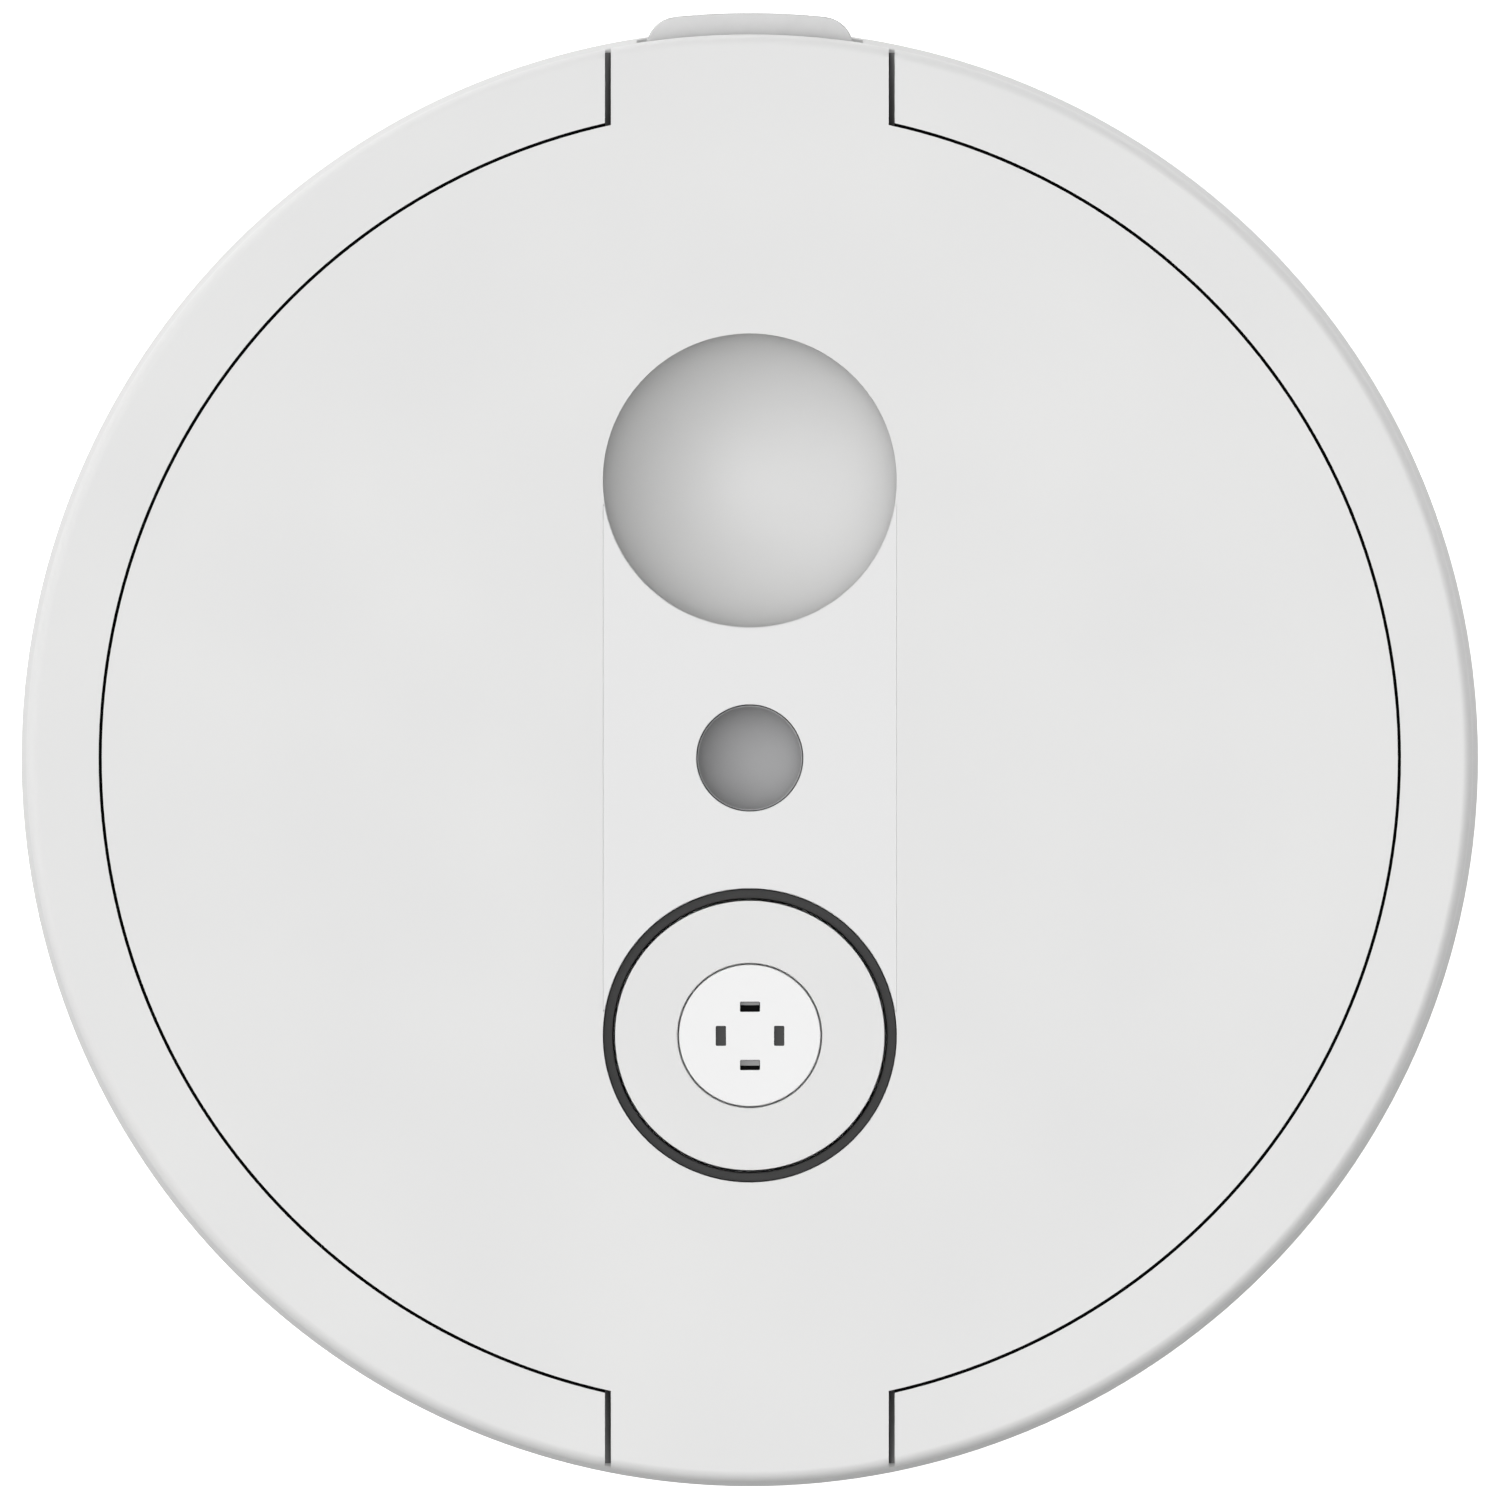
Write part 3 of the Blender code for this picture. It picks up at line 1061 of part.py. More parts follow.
def make_rear_sockets():
    x, wide, high = USB
    level = SOCKET_LEVEL
    front = -math.sqrt(wall_radius(level) ** 2 - (abs(x) + wide / 2) ** 2) + 0.2
    back = front + 7.0
    low_corner = (x - wide / 2, front, level - high / 2)
    shell = box("usb_socket", low_corner, (x + wide / 2, back, level + high / 2), "steel")
    add_bevel(shell, 1.0, 2)
    inner = 0.35
    cut(
        shell,
        box(
            "usb_mouth",
            (x - wide / 2 + inner, front - 1, level - high / 2 + inner),
            (x + wide / 2 - inner, front + 5.6, level + high / 2 - inner),
        ),
    )
    tongue = box("usb_tongue", (x - 3.2, front + 0.6, level - 0.35), (x + 3.2, front + 6, level + 0.35))
    join(shell, tongue)

    knob_x, knob_wide, knob_high, travel = SWITCH
    off = knob_x - travel / 2
    inside = -INNER_RADIUS + 3.0
    z0 = level - high / 2 - STACK
    body_low = (knob_x - 4.5, inside, z0 + 0.1)
    body = box("power_switch_body", body_low, (knob_x + 4.5, inside + 5, level + 2.0), "part_black")
    add_bevel(body, 0.3, 1)
    outer = -math.sqrt(wall_radius(level) ** 2 - (knob_x + travel / 2 + knob_wide / 2) ** 2) + 0.1
    knob = box(
        "power_switch_knob",
        (off - knob_wide / 2, outer, level - knob_high / 2),
        (off + knob_wide / 2, inside - STACK, level + knob_high / 2),
        "part_black",
    )
    for i in (-1, 0, 1):
        x = off + i * 1.1
        low_corner, high_corner = (x - 0.2, outer - 1, level - 3), (x + 0.2, outer + 0.35, level + 3)
        cut(knob, box(f"knob_groove_{i}", low_corner, high_corner))
    board_low = (USB[0] - 8, -INNER_RADIUS + 3.2, z0 - BOARD)
    box("rear_board", board_low, (knob_x + 8, -INNER_RADIUS + 12, z0), "board_green")


def make_main_board():
    low = MAIN_TOP - MAIN_BOARD
    corner = (MAIN_HALF_X, MAIN_HALF_Y)
    board = box("main_board", (-corner[0], -corner[1], low), (*corner, MAIN_TOP), "board_green")
    cut(board, cylinder("board_pen_hole", SLEEVE_RADIUS + 1.0, low - 1, MAIN_TOP + 1, steps=20))
    # processor, radio can, two motor connectors, battery connector and a capacitor
    blocks = (
        (-21, -14, 12, 12, 1.2),
        (21, -14, 14, 11, 2.0),
        (-28, 12, 7, 5, 2.4),
        (28, 12, 7, 5, 2.4),
        (0, -40, 9, 5, 2.4),
        (-24, 30, 6, 6, 2.6),
    )
    for i, (x, y, wide, deep, high) in enumerate(blocks):
        low_corner = (x - wide / 2, y - deep / 2, MAIN_TOP - 0.4)
        join(board, box(f"component_{i}", low_corner, (x + wide / 2, y + deep / 2, MAIN_TOP + high)))


def make_battery():
    z = FLOOR_TOP + 0.8 + BATTERY_RADIUS
    half = BATTERY_LENGTH / 2
    at = (0, BATTERY_Y, z)
    profile = [
        (0, half),
        (3.0, half),
        (3.0, half - 1.2),
        (BATTERY_RADIUS - 0.5, half - 1.2),
        (BATTERY_RADIUS, half - 1.7),
        (BATTERY_RADIUS, -half + 0.5),
        (BATTERY_RADIUS - 0.5, -half),
        (0, -half),
    ]
    turned("battery_cell", profile, "battery_wrap", at, X_AXIS, steps=24)
    wall = 1.6
    reach = half + 1.3
    low = (-reach - wall, BATTERY_Y - BATTERY_RADIUS - wall, FLOOR_TOP + STACK)
    high = (reach + wall, BATTERY_Y + BATTERY_RADIUS + wall, z + 1.0)
    cradle = box("battery_cradle", low, high, "part_black")
    cut(cradle, cylinder("cradle_trough", BATTERY_RADIUS + 0.2, -reach, reach, at, X_AXIS, steps=24))
    clear = BATTERY_RADIUS + 0.2
    foot = FLOOR_TOP - 2
    cut(cradle, box("cradle_opening", (-reach, BATTERY_Y - clear, foot), (reach, BATTERY_Y + clear, z)))
    waist, over = reach - 8, clear + 3
    cut(cradle, box("cradle_top", (-waist, BATTERY_Y - over, z - 4), (waist, BATTERY_Y + over, z + 4)))


def make_speaker():
    x, y, radius, high = SPEAKER
    low = FLOOR_TOP + STACK
    profile = [
        (0, low + high),
        (radius * 0.55, low + high),
        (radius * 0.6, low + 2.2),
        (radius, low + 1.6),
        (radius, low),
        (radius - 1, low),
        (radius - 1.6, low + 0.9),
        (2.5, low + 1.5),
        (0, low + 1.1),
    ]
    turned("speaker", profile, "part_black", (x, y, 0), steps=20)


def make_line_sensor():
    half, deep = LINE_HALF[0] - SEAM, LINE_HALF[1] - SEAM
    low_corner = (-half, LINE_WINDOW_Y - deep, GROUND_GAP + 0.3)
    box("line_window", low_corner, (half, LINE_WINDOW_Y + deep, FLOOR_TOP), "lens_black")
    board_low = FLOOR_TOP + 2.2
    half_y = 2.7
    board = box(
        "line_sensor_board",
        (-13, LINE_WINDOW_Y - half_y, board_low),
        (13, LINE_WINDOW_Y + half_y, board_low + BOARD),
        "board_green",
    )
    for i in range(-2, 3):
        x = i * 4.8
        low_corner = (x - 1.4, LINE_WINDOW_Y - 1.4, FLOOR_TOP + 0.4)
        join(board, box(f"line_eye_{i}", low_corner, (x + 1.4, LINE_WINDOW_Y + 1.4, board_low + 0.3)))


make_body_shell()
make_gasket()
make_side_covers()
make_top_cover()
make_overlay()
make_base_plate()
make_door_and_screws()
make_pen_parts()
make_light_ring()
make_keypad_board()
make_gimbal()
make_direction_pad()
make_go_button()
for wheel_side, wheel_name in ((-1, "left"), (1, "right")):
    make_wheel(wheel_side, wheel_name)
    make_gears(wheel_side, wheel_name)
    make_motor(wheel_side, wheel_name)
    make_gearbox(wheel_side, wheel_name)
make_caster("front", CASTER_OFFSET)
make_caster("rear", -CASTER_OFFSET)
make_nose()
make_front_bracket()
make_distance_sensor()
make_bumper_switch()
make_bumper_springs()
make_rear_sockets()
make_main_board()
make_battery()
make_speaker()
make_line_sensor()
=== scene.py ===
import json
import math

import bmesh
import bpy
from mathutils import Matrix, Vector


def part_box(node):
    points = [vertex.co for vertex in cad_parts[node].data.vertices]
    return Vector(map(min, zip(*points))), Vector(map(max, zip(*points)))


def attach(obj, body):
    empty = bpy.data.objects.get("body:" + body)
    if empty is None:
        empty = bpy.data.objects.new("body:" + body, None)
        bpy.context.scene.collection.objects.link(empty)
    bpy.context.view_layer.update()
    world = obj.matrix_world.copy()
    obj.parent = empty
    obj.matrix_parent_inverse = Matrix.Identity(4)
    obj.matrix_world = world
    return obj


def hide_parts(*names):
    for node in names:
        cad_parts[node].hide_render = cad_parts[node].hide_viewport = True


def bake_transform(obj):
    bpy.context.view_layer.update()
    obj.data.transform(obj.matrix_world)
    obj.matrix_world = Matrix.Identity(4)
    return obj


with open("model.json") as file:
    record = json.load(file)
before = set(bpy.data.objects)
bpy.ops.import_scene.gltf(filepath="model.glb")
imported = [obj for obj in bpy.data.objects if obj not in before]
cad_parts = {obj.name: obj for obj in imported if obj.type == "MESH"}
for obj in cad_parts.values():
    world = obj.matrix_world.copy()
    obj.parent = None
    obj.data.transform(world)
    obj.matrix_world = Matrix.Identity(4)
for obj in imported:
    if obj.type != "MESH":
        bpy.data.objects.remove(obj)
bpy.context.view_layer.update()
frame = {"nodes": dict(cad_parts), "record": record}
print("frame loaded:", len(frame["nodes"]), "nodes")

# Shapes are worked out in millimetres and scaled to metres when a piece is finished.
# +Y is the front, +X the right side, the pen axis is the Z axis and the ground is z 0.
mm = 0.001


def corners(node):
    low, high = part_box(node)
    return low / mm, high / mm


def middle(node):
    low, high = corners(node)
    return (low + high) / 2


shellLow, shellHigh = corners("body_shell")
topZ = corners("top_cover")[1].z
ringMid = middle("light_ring")
featureY = -ringMid.y  # the dish lies as far forward as the pad lies back
wallLean = shellHigh.x - corners("right_side_cover")[1].x  # over the height of the wall
footZ = shellLow.z
wallFoot = shellHigh.x


def wallRadius(z):
    topRadius = wallFoot - wallLean
    return wallFoot + (topRadius - wallFoot) * (z - footZ) / (topZ - footZ)


# Shape helpers


def rounded(points, steps=5):
    # Points are (x, y) or (x, y, corner radius)
    made = []
    for i, point in enumerate(points):
        here = Vector(point[:2])
        radius = point[2] if len(point) > 2 else 0
        if not radius:
            made.append(tuple(here))
            continue
        before = (Vector(points[i - 1][:2]) - here).normalized()
        after = (Vector(points[(i + 1) % len(points)][:2]) - here).normalized()
        half = before.angle(after) / 2
        centre = here + (before + after).normalized() * radius / math.sin(half)
        start = here + before * radius / math.tan(half) - centre
        end = here + after * radius / math.tan(half) - centre
        turn = start.angle_signed(end)
        for k in range(steps + 1):
            arm = start.copy()
            arm.rotate(Matrix.Rotation(-turn * k / steps, 2))
            made.append(tuple(centre + arm))
    return made


def arc(radius, start, end, steps, centre=(0, 0)):
    angles = [math.radians(start + (end - start) * k / steps) for k in range(steps + 1)]
    return [(centre[0] + radius * math.cos(a), centre[1] + radius * math.sin(a)) for a in angles]


def tidy(bm, apart=1e-5):
    bmesh.ops.remove_doubles(bm, verts=bm.verts, dist=apart)
    bmesh.ops.dissolve_degenerate(bm, edges=bm.edges, dist=apart)
    bmesh.ops.recalc_face_normals(bm, faces=bm.faces)
    return bm


def placed(bm, place):
    if place:
        bmesh.ops.transform(bm, matrix=place, verts=bm.verts)
    return bm


def turned(profile, steps=96, place=None):
    # (radius, height) points, spun about Z; a profile that starts off the axis is closed on itself
    bm = bmesh.new()
    verts = [bm.verts.new((r, 0, z)) for r, z in profile]
    edges = [bm.edges.new(pair) for pair in zip(verts, verts[1:])]
    if profile[0][0] > 0:
        edges.append(bm.edges.new((verts[-1], verts[0])))
    circle = {"cent": (0, 0, 0), "axis": (0, 0, 1), "angle": math.tau, "use_merge": True}
    bmesh.ops.spin(bm, geom=verts + edges, steps=steps, **circle)
    return placed(tidy(bm), place)


def extruded(outline, low, high, place=None):
    bm = bmesh.new()
    face = bm.faces.new([bm.verts.new((x, y, low)) for x, y in outline])
    out = bmesh.ops.extrude_face_region(bm, geom=[face])
    moved = [v for v in out["geom"] if isinstance(v, bmesh.types.BMVert)]
    bmesh.ops.translate(bm, vec=(0, 0, high - low), verts=moved)
    bmesh.ops.recalc_face_normals(bm, faces=bm.faces)
    return placed(bm, place)


def block(low, high):
    bm = bmesh.new()
    bmesh.ops.create_cube(bm, size=1)
    bmesh.ops.scale(bm, vec=Vector(high) - Vector(low), verts=bm.verts)
    bmesh.ops.translate(bm, vec=(Vector(high) + Vector(low)) / 2, verts=bm.verts)
    return bm


def rod(radius, low, high, place=None, steps=64):
    bm = bmesh.new()
    ends = {"radius1": radius, "radius2": radius, "cap_ends": True}
    bmesh.ops.create_cone(bm, segments=steps, depth=high - low, **ends)
    bmesh.ops.translate(bm, vec=(0, 0, (low + high) / 2), verts=bm.verts)
    return placed(bm, place)


def cornered(low, high, corner, steps=6):
    # Outline of a rounded rectangle
    points = [(low[0], low[1]), (high[0], low[1]), (high[0], high[1]), (low[0], high[1])]
    return rounded([(x, y, corner) for x, y in points], steps)


def softened(bm, width, chosen=None, segments=3, sharper=35):
    # Rounds the edges that turn by more than this many degrees
    edges = [
        e
        for e in bm.edges
        if len(e.link_faces) == 2
        and e.calc_face_angle(0) > math.radians(sharper)
        and (not chosen or chosen((e.verts[0].co + e.verts[1].co) / 2))
    ]
    settings = {"offset_type": "OFFSET", "profile": 0.5, "material": -1, "clamp_overlap": True}
    bmesh.ops.bevel(bm, geom=edges, affect="EDGES", offset=width, segments=segments, **settings)
    return bm


def at(x=0, y=0, z=0):
    return Matrix.Translation((x, y, z))


def around(radius, degrees, x=0, y=0):
    # A place on a circle about (x, y)
    angle = math.radians(degrees)
    return at(x + radius * math.cos(angle), y + radius * math.sin(angle))


alongX = Matrix(((0, 0, 1, 0), (1, 0, 0, 0), (0, 1, 0, 0), (0, 0, 0, 1)))
alongY = Matrix(((1, 0, 0, 0), (0, 0, 1, 0), (0, -1, 0, 0), (0, 0, 0, 1)))


def asObject(bm, name):
    mesh = bpy.data.meshes.new(name)
    bm.to_mesh(mesh)
    bm.free()
    obj = bpy.data.objects.new(name, mesh)
    bpy.context.scene.collection.objects.link(obj)
    return obj


join, cut, keep = "UNION", "DIFFERENCE", "INTERSECT"


def carved(bm, *steps):
    # Each step is (operation, bmesh); the result is one clean bmesh
    base = asObject(bm, "carved")
    tools = []
    for operation, tool in steps:
        tools.append(asObject(tool, "tool"))
        boolean = base.modifiers.new("boolean", "BOOLEAN")
        boolean.operation = operation
        boolean.object = tools[-1]
        boolean.solver = "EXACT"
    graph = bpy.context.evaluated_depsgraph_get()
    made = bmesh.new()
    made.from_mesh(base.evaluated_get(graph).to_mesh())
    for obj in [base, *tools]:
        mesh = obj.data
        bpy.data.objects.remove(obj)
        bpy.data.meshes.remove(mesh)
    return tidy(made, 1e-4)


def addPiece(name, bm, material, body, nodes=(), smoothTo=38):
    bmesh.ops.scale(bm, vec=(mm, mm, mm), verts=bm.verts)
    obj = asObject(bm, name)
    obj.data.materials.append(materials[material])
    obj.data.shade_smooth()
    obj.data.set_sharp_from_angle(angle=math.radians(smoothTo))
    flat = obj.modifiers.new("flatFaces", "WEIGHTED_NORMAL")  # keeps large flat faces evenly lit
    flat.keep_sharp = True
    if isinstance(body, str):
        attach(obj, body)
    else:
        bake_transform(obj)  # (body, body, start, end): the piece is only baked in place
    if nodes:
        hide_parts(*nodes)
    return obj


# Materials


def srgb(hexColour):
    parts = [int(hexColour[i : i + 2], 16) / 255 for i in (0, 2, 4)]
    return [p / 12.92 if p <= 0.04045 else ((p + 0.055) / 1.055) ** 2.4 for p in parts] + [1]


def addNode(tree, kind, values=None, links=None, **settings):
    # values: socket name or number to a constant; links: socket name or number to a source socket
    node = tree.nodes.new("ShaderNode" + kind)
    for key, value in settings.items():
        setattr(node, key, value)
    for key, value in (values or {}).items():
        node.inputs[key].default_value = value
    for key, source in (links or {}).items():
        tree.links.new(source, node.inputs[key])
    return node


def newMaterial(name, recipe):
    made = bpy.data.materials.new(name)
    made.use_nodes = True
    tree = made.node_tree
    shader = tree.nodes["Principled BSDF"]
    for key, value in recipe["shader"].items():
        shader.inputs[key].default_value = value
    place = addNode(tree, "TexCoord").outputs["Object"]
    return made, tree, shader, place


def noise(tree, place, scale, detail, rough=0.5):
    values = {"Scale": scale, "Detail": detail, "Roughness": rough}
    return addNode(tree, "TexNoise", values, {"Vector": place}).outputs["Fac"]


def twoTone(tree, factor, first, second):
    tones = {6: srgb(first), 7: srgb(second)}
    return addNode(tree, "Mix", tones, {0: factor}, data_type="RGBA").outputs[2]


def addGloss(tree, shader, factor, roughness, low=0.0, high=1.0):
    values = {"From Min": low, "From Max": high, "To Min": roughness[0], "To Max": roughness[1]}
    gloss = addNode(tree, "MapRange", values, {"Value": factor})
    tree.links.new(gloss.outputs[0], shader.inputs["Roughness"])


def addBump(tree, shader, height, strength, distance):
    bump = addNode(tree, "Bump", {"Strength": strength, "Distance": distance}, {"Height": height})
    tree.links.new(bump.outputs[0], shader.inputs["Normal"])


def moulded(name, recipe):
    # A moulded or cast surface: fine grain from the tool, slight cloudiness and some gloss variation
    made, tree, shader, place = newMaterial(name, recipe)
    cloud = noise(tree, place, 1 / (recipe["cloudMm"] * mm), 3)
    colour = twoTone(tree, cloud, recipe["colour"], recipe["cloud"])
    if "etched" in recipe:
        # Painted shade: inside this radius about an upright axis the colour is multiplied a shade darker,
        # standing in for the shade inside the dish
        etched, kind = recipe["etched"], "VectorMath"
        axis = [v * mm for v in (*etched["axis"], 0)]
        away = addNode(tree, kind, {1: axis}, {0: place}, operation="SUBTRACT")
        flat = addNode(tree, kind, {1: (1, 1, 0)}, {0: away.outputs[0]}, operation="MULTIPLY")
        reach = addNode(tree, kind, {}, {0: flat.outputs[0]}, operation="LENGTH").outputs["Value"]
        inside = addNode(tree, "Math", {1: etched["radius"] * mm}, {0: reach}, operation="LESS_THAN")
        shade = {7: (*[etched["shade"]] * 3, 1)}
        sources = {0: inside.outputs[0], 6: colour}
        darker = addNode(tree, "Mix", shade, sources, data_type="RGBA", blend_type="MULTIPLY")
        colour = darker.outputs[2]
    tree.links.new(colour, shader.inputs["Base Color"])
    addGloss(tree, shader, cloud, recipe["roughness"], 0.3, 0.7)
    grain = noise(tree, place, 1 / (recipe["grainMm"] * mm), 4, 0.6)
    addBump(tree, shader, grain, recipe["bump"], recipe["grainMm"] * mm * 0.2)
    return made


# colour, cloud colour, cloud size, grain size, bump, roughness from and to, other shader values
finishes = {
    # White ABS, injection moulded in a lightly textured tool: even, satin and a touch warm
    "shellWhite": ("d8d8d7", "dadada", 22, 0.35, 0.05, (0.42, 0.5),
        {"IOR": 1.53, "Specular IOR Level": 0.4}),
    # The same ABS on the side wall, etched matt so that it doesn't shine at a low angle
    "wallWhite": ("d6d6d5", "d9d9d9", 18, 0.4, 0.12, (0.6, 0.68),
        {"IOR": 1.53, "Specular IOR Level": 0.12}),
    # The same ABS from a coarser spark-eroded tool, as undersides are
    "baseWhite": ("d2d2d1", "d6d6d5", 14, 0.5, 0.25, (0.52, 0.62),
        {"IOR": 1.53, "Specular IOR Level": 0.35}),
    # Soft-touch finish over the nose: a shade greyer than the body, which is painted shade for the nose
    # sitting lower than the lid under its rim, with a faint brushed mottling
    "noseGrey": ("c4c4c4", "cecece", 1.6, 0.3, 0.08, (0.55, 0.66), {"IOR": 1.5, "Specular IOR Level": 0.3}),
    # Back-printed polycarbonate film with a fine matt face
    "filmWhite": ("dddddd", "dedede", 30, 0.25, 0.03, (0.5, 0.56),
        {"IOR": 1.58, "Specular IOR Level": 0.35}),
    # Satin opal polycarbonate: the brightest white here, milky and even
    "capWhite": ("e5e5e5", "e6e6e6", 10, 0.3, 0.01, (0.42, 0.46),
        {"IOR": 1.58, "Specular IOR Level": 0.35}),
    # Smoked acrylic light ring with its lamps off: dark, with a frosted face that barely shines
    "smokedRing": ("323232", "383838", 1.2, 0.2, 0.04, (0.58, 0.66),
        {"IOR": 1.49, "Specular IOR Level": 0.25}),
    # The same smoked acrylic seen through the small windows
    "guideGrey": ("3c3c3c", "404040", 4, 0.15, 0.03, (0.58, 0.64),
        {"IOR": 1.49, "Specular IOR Level": 0.25}),
    # Diffuser steps of the guide, frosted acrylic painted mid-grey: the grey is painted shade for a white
    # ledge lying shadowed in the slot
    "stepGrey": ("848484", "888888", 3, 0.15, 0.03, (0.5, 0.6), {"IOR": 1.49}),
    # Flocked black mask under the windows; its black is partly painted shade, standing in for the shadowed
    # bottoms of the slots
    "deepBlack": ("0a0a0a", "0e0e0e", 2, 0.1, 0.2, (0.85, 0.95), {"IOR": 1.4, "Specular IOR Level": 0.1}),
    # Closed-cell foam strip: dull black with small open cells on its cut faces
    "blackFoam": ("111111", "1a1a1a", 0.5, 0.2, 0.5, (0.9, 1.0), {"IOR": 1.4, "Specular IOR Level": 0.1}),
    # The same foam as the ring, painted lighter grey in the straight gaps: painted light, as these gaps
    # open at the rim
    "greyFoam": ("6a6a6a", "727272", 0.5, 0.2, 0.5, (0.9, 1.0), {"IOR": 1.4, "Specular IOR Level": 0.1}),
    # Grey thermoplastic rubber: matt and slightly dusty
    "plugGrey": ("959596", "9b9b9c", 5, 0.3, 0.12, (0.62, 0.75), {"IOR": 1.5, "Sheen Weight": 0.1}),
    # Infrared-pass acrylic: black to the eye and polished like glass
    "infraredAcrylic": ("0b0a0c", "110d10", 8, 0.4, 0.01, (0.06, 0.1),
        {"IOR": 1.49, "Coat Weight": 0.5, "Coat Roughness": 0.03}),
    # Black silicone rubber with a matt skin that picks up a little floor dust
    "tyreRubber": ("1c1c1d", "2b2a29", 4, 0.25, 0.3, (0.68, 0.85), {"IOR": 1.45, "Sheen Weight": 0.15}),
    # Light grey ABS, satin
    "rimGrey": ("b9bbbe", "bfc1c3", 8, 0.3, 0.1, (0.4, 0.5), {"IOR": 1.53}),
    # Natural acetal: waxy ivory white that lets a little light in
    "acetal": ("ece7d8", "f0ecdf", 6, 0.3, 0.04, (0.32, 0.4),
        {"IOR": 1.48, "Subsurface Weight": 0.15, "Subsurface Scale": 0.001}),
    # Black glass-filled nylon: dark charcoal with a slightly rough, fibrous skin
    "blackNylon": ("17181a", "202123", 5, 0.2, 0.25, (0.45, 0.6), {"IOR": 1.53}),
    # Blue PVC shrink sleeve on the cell: glossy, with faint stretch marks
    "batteryWrap": ("2f62a8", "3a6db2", 9, 0.6, 0.08, (0.25, 0.35), {"IOR": 1.53, "Coat Weight": 0.3}),
}
columns = ("colour", "cloud", "cloudMm", "grainMm", "bump", "roughness", "shader")
finishes = {name: dict(zip(columns, row)) for name, row in finishes.items()}
# Painted shade in the lid's finger dish: its colour is multiplied a shade greyer than the polished top,
# standing in for the shade inside the dish
finishes["lidWhite"] = finishes["shellWhite"] | {
    "etched": {"axis": (0, featureY), "radius": 15.12, "shade": 0.83}
}
materials = {name: moulded(name, recipe) for name, recipe in finishes.items()}


lineDepthMm = 0.02


def drawnSteel(name, recipe):
    # Bright steel: fine lines from drawing or turning stretch the highlights along one way
    made, tree, shader, place = newMaterial(name, {"shader": {"Metallic": 1.0}})
    scale = [1 / (size * mm) for size in recipe["lineMm"]]
    lines = addNode(tree, "Mapping", {"Scale": scale}, {"Vector": place}).outputs[0]
    grain = noise(tree, lines, 1, 3)
    tones = twoTone(tree, grain, recipe["colour"], recipe["line"])
    tree.links.new(tones, shader.inputs["Base Color"])
    addGloss(tree, shader, grain, recipe["roughness"])
    addBump(tree, shader, grain, recipe["bump"], lineDepthMm * mm)
    return made


steels = {
    "groundSteel": {
        # Ground shafts, balls and springs: the lines run round the shaft, so they are short along X
        "colour": "c9cacc", "line": "b7b8bb", "lineMm": (0.15, 3, 3),
        "bump": 0.15, "roughness": (0.16, 0.28),
    },
    "zincScrew": {
        # Bright zinc-plated screws: slightly cool and cloudy
        "colour": "c4c8cc", "line": "a9adb2", "lineMm": (0.6, 0.6, 0.6),
        "bump": 0.2, "roughness": (0.28, 0.42),
    },
    "motorCan": {
        # Nickel-plated deep-drawn cans: long faint draw lines along the motor
        "colour": "bfc0c1", "line": "aeb0b2", "lineMm": (8, 0.3, 0.3),
        "bump": 0.15, "roughness": (0.25, 0.36),
    },
}
materials.update({name: drawnSteel(name, recipe) for name, recipe in steels.items()})


def circuitBoard(name, recipe):
    # FR-4 under green solder mask: copper tracks show as slightly lighter lines
    made, tree, shader, place = newMaterial(name, recipe)
    values = {key: srgb(colour) for key, colour in recipe["colours"].items()} | recipe["pattern"]
    values["Scale"] = 1 / (recipe["pitchMm"] * mm)
    tracks = addNode(tree, "TexBrick", values, {"Vector": place})
    tree.links.new(tracks.outputs["Color"], shader.inputs["Base Color"])
    addBump(tree, shader, tracks.outputs["Fac"], 0.3, recipe["copperMm"] * mm)
    return made


board = {
    "colours": {"Color1": "12694a", "Color2": "0f6044", "Mortar": "1c8a5f"},
    "pattern": {"Mortar Size": 0.07, "Brick Width": 3.2, "Row Height": 1.0},
    "pitchMm": 2.54,
    "copperMm": 0.035,
    "shader": {"Roughness": 0.32, "IOR": 1.5, "Coat Weight": 0.3},
}
materials["circuitBoard"] = circuitBoard("circuitBoard", board)
print("materials made:", len(materials))


# Top: lid, side covers, strip

lid = {
    "layer": 3.0,
    "edgeRadius": 1.05,
    "seamGap": 0.33,
    "seamEdge": 0.4,  # rounding of the lid along the seam
    "coverEdge": 0.08,  # the covers' inner edge is almost sharp
    "discRadius": corners("top_cover")[1].x - 0.04,
    "tongueHalf": 14.3,
    "featureRadius": 15.14,
    "cupWall": 1.6,
    "dishDepth": 9.0,
    "wellDepth": 9.2,
    "recess": 0.6,
    "recessGap": 0.012,
    "penHole": 5.5,
    "hub": (8.8, 7.2),  # collar round the pen hole: outside, and the bore for the sleeve
    "guideHole": 4.0,
    "peg": (1.4, 2.0, 0.8),  # radius, length below the layer and overlap into it
    "pegCircle": 64.75,
    "coverPegCircle": 69.35,
    "steps": 256,
}
layerZ = topZ - lid["layer"]


def topDisc():
    edge = wallRadius(topZ)
    foot = wallRadius(layerZ)
    outside = rounded([(0, topZ), (edge, topZ, lid["edgeRadius"]), (foot, layerZ, 0.25), (0, layerZ)], 8)
    return turned(outside, lid["steps"])


def lidRegion():
    lean = math.degrees(math.acos(lid["tongueHalf"] / lid["discRadius"]))
    far, half = wallFoot + 3, lid["tongueHalf"]
    right = arc(lid["discRadius"], -lean, lean, 110)
    left = arc(lid["discRadius"], 180 - lean, 180 + lean, 110)
    outline = right + [(half, far), (-half, far)] + left + [(-half, -far), (half, -far)]
    return extruded(outline, layerZ - 5, topZ + 5)


def bowl(radius, depth, top, steps=128):
    curve = [(x, top + y) for x, y in arc(1, 0, -90, 28)]
    curve = [(x * radius, top + (y - top) * depth) for x, y in curve[:-1]]
    return [(radius, top + 3), *curve, (0, top - depth)]


def pegRing(circle, turns):
    radius, below, above = lid["peg"]
    return [(join, rod(radius, layerZ - below, layerZ + above, around(circle, t), 24)) for t in turns]


